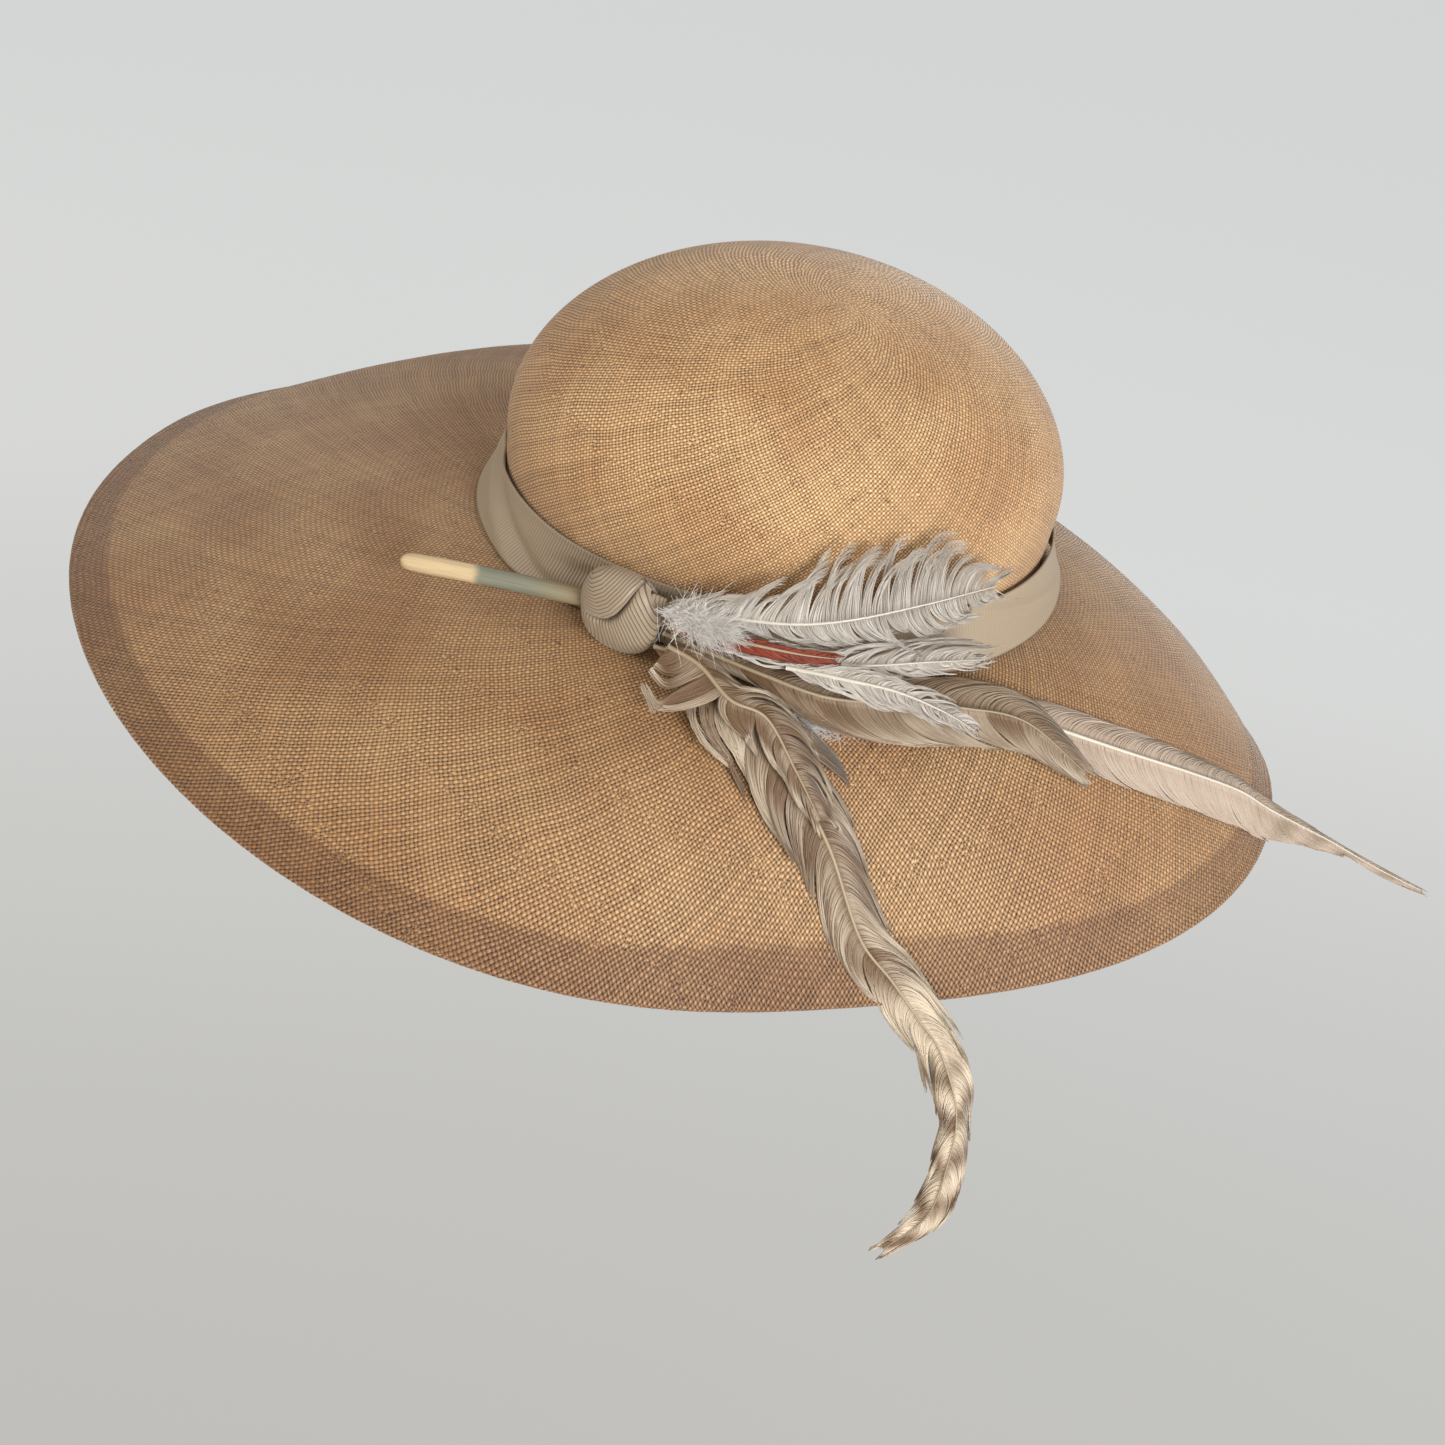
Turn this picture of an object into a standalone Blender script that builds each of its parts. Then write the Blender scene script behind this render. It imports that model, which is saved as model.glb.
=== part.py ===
"""A wide-brimmed woven picture hat with a knotted ribbon band, a bare quill and a spray of feathers.

Metres, +Z up. The origin is the middle of the head opening. The wearer faces -Y and the wearer's
left, where the feathers are, is +X. Angles go round from +X towards +Y, so 90 is the back.
"""

import bpy
import bmesh
import numpy as np
from math import cos, hypot, pi, radians, sin
from mathutils import Vector, Matrix

mm = 0.001
gap = 0.3 * mm  # between pieces that touch
turns = 48  # facets round the head and the brim

# Crown
head_length = 195.4 * mm  # outside, front to back, at the head line
head_width = 168.0 * mm
crown_height = 96.0 * mm
crown_side = 31.0 * mm  # height at which the wall starts to curve in
crown_roundness = 1.94
crown_wall = 1.0 * mm

# Brim: reach from the centre and height of the finished edge, every 30 degrees from the left
brim_edge = [
    (170, -72), (165, -79), (197, -66), (207, -59), (182, -56), (162, -40),
    (177, -24), (220, -27), (251, -34), (249, -24), (233, -17), (207, -39),
]
brim_bend = 1.72  # over 1 keeps the brim level near the head and steeper at the edge
brim_wall = 1.0 * mm
turn_down = 14.0 * mm  # extra drop of the edge on the far side
turn_down_from, turn_down_to = 80, 262  # degrees
turn_down_share = 0.25  # of the brim's width
collar_height = 8.0 * mm
collar_round = 3.0 * mm

# Edge finish
hem_width = 12.0 * mm
hem_wall = 0.7 * mm
hem_fold = 3.0 * mm  # room past the sheet for the wire and the fold
wire_radius = 0.5 * mm

# Head ribbon inside the crown
sweatband_width = 20.0 * mm
sweatband_wall = 0.8 * mm
sweatband_seam = 1.0 * mm  # open joint at the back

# Ribbon round the crown
ribbon_height = 20.0 * mm
ribbon_wall = 0.8 * mm
ribbon_flare = 10.0 * mm  # how far its lower edge stands off the crown
ribbon_pinch = 0.62  # how much of the flare the knot pulls in
ribbon_pinch_spread = 13  # degrees

# Knot and quill
knot_angle = -27
knot_length = 27.0 * mm
knot_height = 27.0 * mm
knot_depth = 14.0 * mm
knot_lift = 14.0 * mm
knot_crease_tilt = 38  # degrees
quill_length = 59.0 * mm
quill_radius = 3.0 * mm
quill_drop = 5.0 * mm  # below the knot's middle
quill_yaw = 19
quill_pitch = -2.5

# Feathers. A station is (angle, share of the brim's width, extra mm outwards, mm above the brim,
# half width in mm of the vane on the left, and on the right, looking from base to tip).
shaft_radius = 0.8 * mm
vane_wall = 0.5 * mm
feather_rows = 15
hanging_stations = [
    (-17, 0, 16, 9, 2, 3), (-13, 0, 17, 10, 3, 6), (-7, 0, 20, 10, 5, 14), (-1, 0.1, 18, 10, 8, 17),
    (5, 0.33, 3, 8, 10, 15), (11, 0.53, 0, 6, 11, 12), (15, 0.66, 0, 5, 10, 10), (19, 0.86, 0, 5, 9, 10),
    (23, 0.96, 0, 5, 9, 9), (26, 1, 5, -1, 8, 8), (28, 1, 12, -10, 7, 7), (29, 1, 24, -26, 6, 6),
    (28, 1, 33, -40, 6, 5), (26, 1, 42, -58, 5, 5), (22, 1, 46, -69, 2, 2),
]
cover_stations = [
    (-14, 0, 18, 13, 2, 3), (-8, 0, 21, 13.5, 4, 10), (-2, 0.1, 19, 13.5, 6, 12), (4, 0.3, 4, 12, 8, 8),
    (9, 0.45, 2, 10, 8, 4), (13, 0.6, 0, 9, 3, 2),
]
tan_stations = [
    (-17, 0, 10, 9, 2, 3), (-7, 0, 12, 9, 5, 3), (3, 0, 15, 9, 7, 4), (14, 0.1, 11, 9, 8, 11),
    (26, 0.19, 6, 9, 10, 13), (38, 0.26, 3, 8, 10, 11), (47, 0.37, 0, 7, 8, 9), (52, 0.55, 0, 6, 1.5, 1.5),
]
pale_stations = [
    (30, 0.12, 5, 4, 3, 3), (38, 0.19, 2, 4, 6, 6), (49, 0.35, 0, 4, 9, 8), (60, 0.54, 0, 4, 9, 10),
    (67, 0.69, 0, 4, 8, 11), (73, 0.85, 0, 4, 6, 10), (76, 0.98, 0, 5, 4, 7), (77, 1, 22, -1, 3, 4),
    (77.5, 1, 42, -8, 2, 3), (78, 1, 62, -14, 0.8, 0.8),
]
white_stations = [
    (-18, 0, 11, 19, 2, 2), (-8, 0, 11, 22, 8, 4), (6, 0, 11, 25, 14, 5), (17, 0, 11, 29, 20, 6),
    (30, 0, 11, 34, 18, 6), (40, 0, 11, 36, 8, 4), (44, 0, 11, 36, 2, 2),
]
spray_stations = [
    (-9, 0, 18, 20.5, 1.5, 1.5), (1, 0, 18, 20.5, 3, 3), (17, 0, 18, 21, 5, 3), (31, 0, 19, 22, 4, 3),
    (40, 0.05, 18, 23, 1, 1),
]
wisp_stations = [
    (14, 0, 22, 17, 1.5, 1.5), (20, 0.08, 20, 18, 2, 3), (26, 0.2, 17, 19, 2, 3), (30, 0.3, 15, 20, 0.8, 0.8),
]
red_stations = [
    (-15, 0, 14, 15, 1.2, 1.2), (-8, 0, 14.5, 15, 1.5, 3), (0, 0, 15, 15, 1.5, 4), (8, 0, 16, 15, 1, 1.5),
]
white_lean, spray_lean, red_lean = 0.75, 0.35, 0.35  # from facing up (0) towards facing outwards (1)

# Hinges of the three parts of the spray, at the knot: (angle, mm outwards, mm above the brim)
hanging_hinge = (-17, 16, 9)
side_hinge = (-17, 10, 9)
white_hinge = (-18, 11, 19)

# Down at the feathers' feet: angle, mm outwards, mm above the brim, half sizes in mm (round, out, up)
side_down = (12, 21, 1.9, 11, 5, 0.9)
white_down = (-12, 17.5, 24, 7, 2, 3)


def smooth(a, b, x):
    t = min(max((x - a) / (b - a), 0), 1)
    return t * t * (3 - 2 * t)


def round_wave(values, angle):
    """The smooth closed curve through evenly spaced values, read at an angle in degrees."""
    parts = np.fft.rfft(values) / len(values)
    total = parts[0].real
    for k in range(1, len(parts)):
        twice = 2 if 2 * k < len(values) else 1
        turn = radians(k * angle)
        total += twice * (parts[k].real * cos(turn) - parts[k].imag * sin(turn))
    return total


def head_radius(angle, out=0.0):
    """Distance from the centre to the head oval, plus a distance outwards."""
    a, b = head_width / 2, head_length / 2
    turn = radians(angle)
    return a * b / hypot(b * cos(turn), a * sin(turn)) + out


def place(angle, radius, height):
    return Vector((radius * cos(radians(angle)), radius * sin(radians(angle)), height))


def brim_reach(angle):
    return round_wave([reach * mm for reach, height in brim_edge], angle)


def turned_down(angle):
    angle %= 360
    rise = smooth(turn_down_from, turn_down_from + 35, angle)
    return turn_down * rise * (1 - smooth(turn_down_to - 37, turn_down_to, angle))


def brim_height(angle, share):
    edge = round_wave([height * mm for reach, height in brim_edge], angle)
    share = min(max(share, 0), 1)
    tail = max(share - 1 + turn_down_share, 0) / turn_down_share
    return edge * share ** brim_bend - turned_down(angle) * tail ** 2


def on_brim(angle, share, extra=0.0, lift=0.0):
    """A point by its angle, its share of the brim's width, then metres outwards and upwards."""
    head = head_radius(angle)
    width = brim_reach(angle) - head
    radius = head + share * width + extra
    return place(angle, radius, brim_height(angle, (radius - head) / width) + lift)


def brim_normal(angle, share):
    share = min(max(share, 0.03), 1)
    along = on_brim(angle + 1, share) - on_brim(angle - 1, share)
    outward = on_brim(angle, share) - on_brim(angle, share - 0.03)
    return outward.cross(along).normalized()


def share_inside(angle, back):
    """The share of the brim's width that lies this far inside the finished edge."""
    return 1 - back / (brim_reach(angle) - head_radius(angle))


def angles_round(first=0, last=360):
    """The facets' angles from first up to just under last, in degrees."""
    step = 360 / turns
    return [step * i for i in range(int(np.ceil(first / step - 1e-9)), int(np.ceil(last / step - 1e-9)))]


def new_collection(name, scene):
    collection = bpy.data.collections.new(name)
    scene.collection.children.link(collection)
    return collection


def new_material(name, colour, roughness, metallic=0.0):
    material = bpy.data.materials.new(name)
    material.use_nodes = True
    shader = material.node_tree.nodes["Principled BSDF"]
    shader.inputs["Base Color"].default_value = (*colour, 1)
    shader.inputs["Roughness"].default_value = roughness
    shader.inputs["Metallic"].default_value = metallic
    material.diffuse_color = (*colour, 1)
    return material


def add_object(name, data, material, parent=None):
    obj = bpy.data.objects.new(name, data)
    collection_of_parts.objects.link(obj)
    data.materials.append(material)
    if parent:
        obj.parent = parent
        obj.matrix_parent_inverse = parent.matrix_world.inverted()
    return obj


def add_mesh(name, bm, material, parent=None):
    bmesh.ops.recalc_face_normals(bm, faces=bm.faces)
    mesh = bpy.data.meshes.new(name)
    bm.to_mesh(mesh)
    bm.free()
    mesh.shade_smooth()
    mesh.set_sharp_from_angle(angle=radians(40))
    return add_object(name, mesh, material, parent)


def solidify(obj, thickness, offset=0.0):
    shell = obj.modifiers.new("wall", "SOLIDIFY")
    shell.thickness = thickness
    shell.offset = offset
    shell.use_even_offset = True


def loft(rows, closed=False):
    """A bmesh of quads through rows of points of equal length. closed joins the last row to the first."""
    bm = bmesh.new()
    grid = [[bm.verts.new(point) for point in row] for row in rows]
    pairs = list(zip(grid, grid[1:]))
    if closed:
        pairs.append((grid[-1], grid[0]))
    for first, second in pairs:
        for i in range(len(first) - 1):
            bm.faces.new((first[i], first[i + 1], second[i + 1], second[i]))
    return bm


def tube(name, points, radius, material, parent=None, cyclic=False, radii=None, resolution=1):
    curve = bpy.data.curves.new(name, "CURVE")
    curve.dimensions = "3D"
    curve.bevel_depth = radius
    curve.bevel_resolution = resolution
    curve.use_fill_caps = not cyclic
    spline = curve.splines.new("POLY")
    spline.points.add(len(points) - 1)
    for i, point in enumerate(points):
        spline.points[i].co = (*point, 1)
        spline.points[i].radius = radii[i] if radii else 1
    spline.use_cyclic_u = cyclic
    return add_object(name, curve, material, parent)


def through(points, count):
    """Evenly spaced points on a smooth curve through the given tuples of numbers."""
    points = [np.array(point, float) for point in points]
    ends = [2 * points[0] - points[1]] + points + [2 * points[-1] - points[-2]]
    dense = []
    for a, b, c, d in zip(ends, ends[1:], ends[2:], ends[3:]):
        for t in np.linspace(0, 1, 12, endpoint=False):
            dense.append(0.5 * (2 * b + (c - a) * t + (2 * a - 5 * b + 4 * c - d) * t**2
                                + (3 * b - a - 3 * c + d) * t**3))
    dense.append(points[-1])
    dense = np.array(dense)
    steps = np.linalg.norm(np.diff(dense[:, :3], axis=0), axis=1)
    run = np.concatenate([[0], np.cumsum(steps)])
    wanted = np.linspace(0, run[-1], count)
    return np.stack([np.interp(wanted, run, column) for column in dense.T], axis=1)


def crown():
    """A domed oval shell: its wall stands straight, then curves in by a superellipse."""
    levels = [(1, height) for height in (0, crown_side / 2)]
    for turn in np.linspace(0, pi / 2, 10)[:-1]:
        height = crown_side + (crown_height - crown_side) * sin(turn) ** (2 / crown_roundness)
        levels.append((cos(turn) ** (2 / crown_roundness), height))
    rows = [[place(angle, head_radius(angle) * share, height) for share, height in levels]
            for angle in angles_round()]
    bm = loft(rows, closed=True)
    tip = bm.verts.new((0, 0, crown_height))
    top = [edge for edge in bm.edges if edge.is_boundary and edge.verts[0].co.z > crown_side]
    for edge in top:
        bm.faces.new((*edge.verts, tip))
    obj = add_mesh("crown", bm, straw)
    solidify(obj, crown_wall, -1)
    return obj


def brim():
    """The collar stands up round the crown, turns out and runs to just inside the finished edge."""
    stand = gap + brim_wall / 2
    rows = []
    for angle in angles_round():
        row = [place(angle, head_radius(angle, stand), height) for height in (collar_height, collar_round)]
        row.append(place(angle, head_radius(angle, stand + collar_round * 0.3), collar_round * 0.3))
        row.append(on_brim(angle, 0, stand + collar_round))
        start = (stand + collar_round) / (brim_reach(angle) - head_radius(angle))
        hem_starts = share_inside(angle, hem_fold + hem_width)
        row += [on_brim(angle, share) for share in np.linspace(start, hem_starts, 7)[1:]]
        row += [on_brim(angle, share_inside(angle, hem_fold + back)) for back in (hem_width / 2, 0)]
        rows.append(row)
    obj = add_mesh("brim", loft(rows, closed=True), straw)
    solidify(obj, brim_wall)
    return obj


def edge_frame(angle):
    """The sheet's edge, the direction on outwards in the sheet, and the sheet's normal."""
    share = share_inside(angle, hem_fold)
    outward = (on_brim(angle, share) - on_brim(angle, share - 0.03)).normalized()
    return on_brim(angle, share), outward, brim_normal(angle, share)


def brim_hem():
    """A strip under the edge that folds up round the wire and just over the sheet."""
    below = brim_wall / 2 + gap + hem_wall / 2
    rows = []
    for angle in angles_round():
        edge, outward, up = edge_frame(angle)
        row = []
        for back in (hem_width, hem_width / 2):
            share = share_inside(angle, hem_fold + back)
            row.append(on_brim(angle, share) - brim_normal(angle, share) * below)
        for out, rise in ((0, -below), (hem_fold * 0.6, -below * 0.75), (hem_fold * 0.85, 0),
                          (hem_fold * 0.55, below * 0.8), (-hem_fold * 0.2, below)):
            row.append(edge + outward * out + up * rise)
        rows.append(row)
    obj = add_mesh("brim_hem", loft(rows, closed=True), straw)
    solidify(obj, hem_wall)
    return obj


def brim_wire():
    points = []
    for angle in angles_round():
        edge, outward, up = edge_frame(angle)
        points.append(edge + outward * hem_fold * 0.38)
    return tube("brim_wire", points, wire_radius, wire_steel, cyclic=True)


def sweatband():
    inside = -(crown_wall + gap + sweatband_wall / 2)
    half_seam = sweatband_seam / head_length * 180 / pi
    rows = []
    for angle in [90 + half_seam] + angles_round(91, 450) + [450 - half_seam]:
        row = [place(angle, head_radius(angle, inside), 1 * mm + height)
               for height in (0, sweatband_width / 2, sweatband_width)]
        rows.append(row)
    obj = add_mesh("sweatband", loft(rows), cotton)
    solidify(obj, sweatband_wall)
    return obj


def ribbon_stand(angle):
    """How far the ribbon's lower edge stands off the crown: less where the knot gathers it."""
    away = (angle - knot_angle + 180) % 360 - 180
    return ribbon_flare * (1 - ribbon_pinch * np.exp(-((away / ribbon_pinch_spread) ** 2)))


def ribbon_band():
    """Its top hugs the crown and its lower edge flares out over the brim, clear of the collar."""
    foot = brim_wall / 2 + gap + ribbon_wall
    hug = gap * 2 + brim_wall + ribbon_wall / 2
    rows = []
    for angle in angles_round():
        stand = max(ribbon_stand(angle), hug + 1 * mm)
        row = []
        for down in np.linspace(0, 1, 5):
            out = hug + (stand - hug) * down ** 1.3
            row.append(place(angle, head_radius(angle, out), ribbon_height + (foot - ribbon_height) * down))
        rows.append(row)
    obj = add_mesh("ribbon_band", loft(rows, closed=True), grosgrain)
    solidify(obj, ribbon_wall)
    return obj


def knot_frame():
    """The knot's middle, with its axes: along the ribbon towards the feathers, outwards, and up."""
    inner = ribbon_stand(knot_angle) + ribbon_wall + gap
    middle = place(knot_angle, head_radius(knot_angle, inner + knot_depth / 2), knot_lift)
    ahead, behind = (place(knot_angle + turn, head_radius(knot_angle + turn), 0) for turn in (1, -1))
    along = (ahead - behind).normalized()
    up = Vector((0, 0, 1))
    outward = along.cross(up)
    frame = Matrix((along, outward, up)).transposed().to_4x4()
    frame.translation = middle
    return frame


def knot_lobe(name, side):
    """Half of a rounded block, cut along the crease. side is 1 for the upper lobe, -1 for the lower."""
    bm = bmesh.new()
    bmesh.ops.create_uvsphere(bm, u_segments=20, v_segments=12, radius=1)
    half = Vector((knot_length / 2, knot_depth / 2, knot_height / 2))
    for vert in bm.verts:
        flat = [abs(value) ** 0.8 * (1 if value > 0 else -1) for value in vert.co]
        vert.co = Vector([value * size for value, size in zip(flat, half)])
    crease = Vector((-sin(radians(knot_crease_tilt)), 0, cos(radians(knot_crease_tilt))))
    cut = bmesh.ops.bisect_plane(bm, geom=bm.verts[:] + bm.edges[:] + bm.faces[:], dist=1e-6,
                                 plane_co=crease * side * gap / 2, plane_no=crease * side, clear_inner=True)
    rim = [item for item in cut["geom_cut"] if isinstance(item, bmesh.types.BMEdge)]
    bmesh.ops.holes_fill(bm, edges=rim)
    obj = add_mesh(name, bm, grosgrain)
    obj.matrix_world = knot_frame()
    return obj


def knot_end():
    """The short cut end of the ribbon that shows above the knot on the feathers' side."""
    frame = knot_frame()
    start = knot_length / 2 + gap
    rows = []
    for run, rise in ((0, 10), (2, 10.5), (4, 11)):
        rows.append([frame @ Vector((start + run * mm, -1 * mm, (rise + width) * mm)) for width in (-2, 1.5)])
    obj = add_mesh("knot_end", loft(rows), grosgrain)
    solidify(obj, ribbon_wall)
    return obj


def quill():
    """The bare foot of a feather, straight and round, rounded off at its end."""
    frame = knot_frame()
    along = Matrix.Rotation(radians(quill_yaw), 3, "Z") @ frame.to_3x3().col[0]
    along.z = sin(radians(-quill_pitch))
    along.normalize()
    face = frame @ Vector((-knot_length / 2, 0, -quill_drop))
    foot = face - along * 1.2 * mm
    shares = (0, 0.25, 0.5, 0.75, 0.94, 0.98, 1)
    radii = (1, 1, 1, 0.98, 0.9, 0.75, 0.4)
    points = [foot - along * quill_length * share for share in shares]
    return tube("quill", points, quill_radius, horn, radii=radii, resolution=2)


def feather_rows_of(stations, lean):
    """Rows of (middle, sideways, normal, left width, right width) from base to tip."""
    middles = []
    for angle, share, extra, lift, left, right in stations:
        point = on_brim(angle, share, extra * mm, lift * mm)
        true_share = share + extra * mm / (brim_reach(angle) - head_radius(angle))
        middles.append((*point, angle, true_share, left * mm, right * mm))
    lines = through(middles, feather_rows)
    rows = []
    for i, line in enumerate(lines):
        point = Vector(line[:3])
        tangent = Vector(lines[min(i + 1, len(lines) - 1)][:3] - lines[max(i - 1, 0)][:3]).normalized()
        angle, share = line[3], line[4]
        face = (brim_normal(angle, share) * (1 - lean) + place(angle, lean, 0)).normalized()
        left = face.cross(tangent).normalized()
        rows.append((point, left, tangent.cross(left), line[5], line[6]))
    return rows


def vane(name, rows, side, material, parent):
    """One side of a feather, from beside its shaft to its outer edge, a little cambered."""
    near = shaft_radius + gap
    grid = []
    for point, left, normal, left_width, right_width in rows:
        width = max(left_width if side > 0 else right_width, near + 0.5 * mm)
        middle = (near + width) / 2
        grid.append([point + left * side * out - normal * sag * width
                     for out, sag in ((near, 0), (middle, 0.01), (width, 0.06))])
    obj = add_mesh(name, loft(grid), material, parent)
    solidify(obj, vane_wall)
    return obj


def feather(name, stations, material, parent, lean=0.0):
    rows = feather_rows_of(stations, lean)
    radii = [1 - 0.8 * i / (len(rows) - 1) for i in range(len(rows))]
    tube(name + "_shaft", [row[0] for row in rows], shaft_radius, horn, parent, radii=radii)
    for side in ("left", "right"):
        vane(f"{name}_vane_{side}", rows, 1 if side == "left" else -1, material, parent)


def down_tuft(name, spot, material, parent):
    angle, out, lift, round_half, out_half, up_half = spot
    bm = bmesh.new()
    bmesh.ops.create_uvsphere(bm, u_segments=12, v_segments=7, radius=1)
    bmesh.ops.scale(bm, vec=(out_half * mm, round_half * mm, up_half * mm), verts=bm.verts)
    point = on_brim(angle, 0, out * mm, lift * mm)
    normal = brim_normal(angle, out * mm / (brim_reach(angle) - head_radius(angle)))
    turn = Vector((0, 0, 1)).rotation_difference(normal).to_matrix() @ Matrix.Rotation(radians(angle), 3, "Z")
    bmesh.ops.transform(bm, matrix=Matrix.Translation(point) @ turn.to_4x4(), verts=bm.verts)
    return add_mesh(name, bm, material, parent)


def hinge_empty(name, spot):
    empty = bpy.data.objects.new(name, None)
    angle, out, lift = spot
    empty.location = on_brim(angle, 0, out * mm, lift * mm)
    empty.empty_display_size = 5 * mm
    collection_of_parts.objects.link(empty)
    bpy.context.view_layer.update()
    return empty


for old in list(bpy.data.objects):
    bpy.data.objects.remove(old, do_unlink=True)

collection_of_parts = new_collection("picture_hat", bpy.context.scene)
straw = new_material("woven straw", (0.52, 0.33, 0.16), 0.55)
grosgrain = new_material("grosgrain ribbon", (0.47, 0.39, 0.30), 0.6)
cotton = new_material("cotton head ribbon", (0.60, 0.50, 0.36), 0.8)
wire_steel = new_material("wire", (0.5, 0.5, 0.5), 0.4, 1.0)
horn = new_material("feather shaft", (0.72, 0.62, 0.42), 0.4)
tan_vane = new_material("tan feather", (0.52, 0.40, 0.25), 0.6)
pale_vane = new_material("pale feather", (0.70, 0.60, 0.46), 0.6)
white_vane = new_material("white feather", (0.80, 0.76, 0.70), 0.7)
red_vane = new_material("red feather", (0.30, 0.06, 0.03), 0.5)

crown()
brim()
brim_hem()
brim_wire()
sweatband()
ribbon_band()
knot_lobe("knot_upper", 1)
knot_lobe("knot_lower", -1)
knot_end()
quill()

hanging = hinge_empty("hanging_feather_hinge", hanging_hinge)
feather("hanging_feather", hanging_stations, tan_vane, hanging)
feather("cover_feather", cover_stations, tan_vane, hanging)

side = hinge_empty("side_feather_hinge", side_hinge)
feather("tan_feather", tan_stations, tan_vane, side)
feather("pale_feather", pale_stations, pale_vane, side)
down_tuft("side_down", side_down, white_vane, side)

white = hinge_empty("white_feather_hinge", white_hinge)
feather("white_feather", white_stations, white_vane, white, white_lean)
feather("white_spray", spray_stations, white_vane, white, spray_lean)
feather("white_wisp", wisp_stations, white_vane, white)
feather("red_feather", red_stations, red_vane, white, red_lean)
down_tuft("white_down", white_down, white_vane, white)
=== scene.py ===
import bpy
import numpy as np
from math import radians
from mathutils import Matrix, Vector


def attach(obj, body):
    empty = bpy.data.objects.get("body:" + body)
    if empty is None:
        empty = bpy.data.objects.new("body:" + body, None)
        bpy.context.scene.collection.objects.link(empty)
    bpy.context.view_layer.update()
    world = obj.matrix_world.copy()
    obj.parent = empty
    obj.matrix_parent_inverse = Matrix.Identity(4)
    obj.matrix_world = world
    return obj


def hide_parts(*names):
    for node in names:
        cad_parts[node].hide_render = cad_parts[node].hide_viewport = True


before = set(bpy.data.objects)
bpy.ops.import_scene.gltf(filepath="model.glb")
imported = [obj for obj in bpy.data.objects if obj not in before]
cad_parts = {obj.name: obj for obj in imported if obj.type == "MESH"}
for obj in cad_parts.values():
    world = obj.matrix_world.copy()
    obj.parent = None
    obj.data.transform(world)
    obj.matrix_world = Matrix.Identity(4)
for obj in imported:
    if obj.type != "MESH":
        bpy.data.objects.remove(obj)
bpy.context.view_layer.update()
mm = 0.001

def lerp(a, b, t):
    return a + (b - a) * t


def smooth(a, b, x):
    t = np.clip((np.asarray(x, float) - a) / (b - a), 0, 1)
    return t * t * (3 - 2 * t)


def unit(v):
    return v / np.maximum(np.linalg.norm(v, axis=-1, keepdims=True), 1e-12)


def away(angle, centre):
    # Signed turn in degrees from centre to angle.
    return (np.asarray(angle, float) - centre + 180) % 360 - 180


def ripple(x, seed, waves=5):
    # A smooth random curve from about -1 to 1.
    rng = np.random.default_rng(seed)
    total = np.zeros(np.shape(x))
    for k in range(1, waves + 1):
        total = total + np.sin(k * x + rng.uniform(0, 6.28)) * rng.uniform(0.5, 1) / k ** 0.5
    return total / waves ** 0.5


def through(points, count):
    # Evenly spaced points on a smooth curve through the given rows of numbers.
    points = [np.array(point, float) for point in points]
    ends = [2 * points[0] - points[1]] + points + [2 * points[-1] - points[-2]]
    dense = []
    for a, b, c, d in zip(ends, ends[1:], ends[2:], ends[3:]):
        for t in np.linspace(0, 1, 12, endpoint=False):
            dense.append(0.5 * (2 * b + (c - a) * t + (2 * a - 5 * b + 4 * c - d) * t**2
                                + (3 * b - a - 3 * c + d) * t**3))
    dense.append(points[-1])
    dense = np.array(dense)
    run = np.concatenate([[0], np.cumsum(np.linalg.norm(np.diff(dense[:, :3], axis=0), axis=1))])
    wanted = np.linspace(0, run[-1], count)
    return np.stack([np.interp(wanted, run, column) for column in dense.T], axis=1)


def gridFaces(rows, columns, closeRows=False, closeColumns=False, start=0):
    # Quads over a grid of points stored row by row.
    r = np.arange(rows if closeRows else rows - 1)
    c = np.arange(columns if closeColumns else columns - 1)
    r, c = np.meshgrid(r, c, indexing="ij")
    r2, c2 = (r + 1) % rows, (c + 1) % columns
    quads = np.stack([r * columns + c, r * columns + c2, r2 * columns + c2, r2 * columns + c], -1)
    return (quads.reshape(-1, 4) + start).tolist()


def endCaps(rows, columns):
    # The two end faces that close a tube stored row by row.
    return [list(range(columns)), list(range((rows - 1) * columns, rows * columns))[::-1]]


def newPiece(name, points, faces, material, body, replaced=(), marks=None, flat=False):
    # A mesh piece with its own named values at each point, riding on a body.
    mesh = bpy.data.meshes.new(name)
    mesh.from_pydata(np.asarray(points, float).reshape(-1, 3).tolist(), [], faces)
    mesh.validate()
    if not flat:
        mesh.shade_smooth()
    for key, values in (marks or {}).items():
        values = np.asarray(values, np.float32)
        if values.ndim > 1 and values.shape[-1] == 3:
            mesh.attributes.new(key, "FLOAT_VECTOR", "POINT").data.foreach_set("vector", values.reshape(-1))
        else:
            mesh.attributes.new(key, "FLOAT", "POINT").data.foreach_set("value", values.reshape(-1))
    mesh.materials.append(material)
    piece = bpy.data.objects.new(name, mesh)
    bpy.context.scene.collection.objects.link(piece)
    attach(piece, body)
    if replaced:
        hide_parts(*replaced)
    return piece


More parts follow.
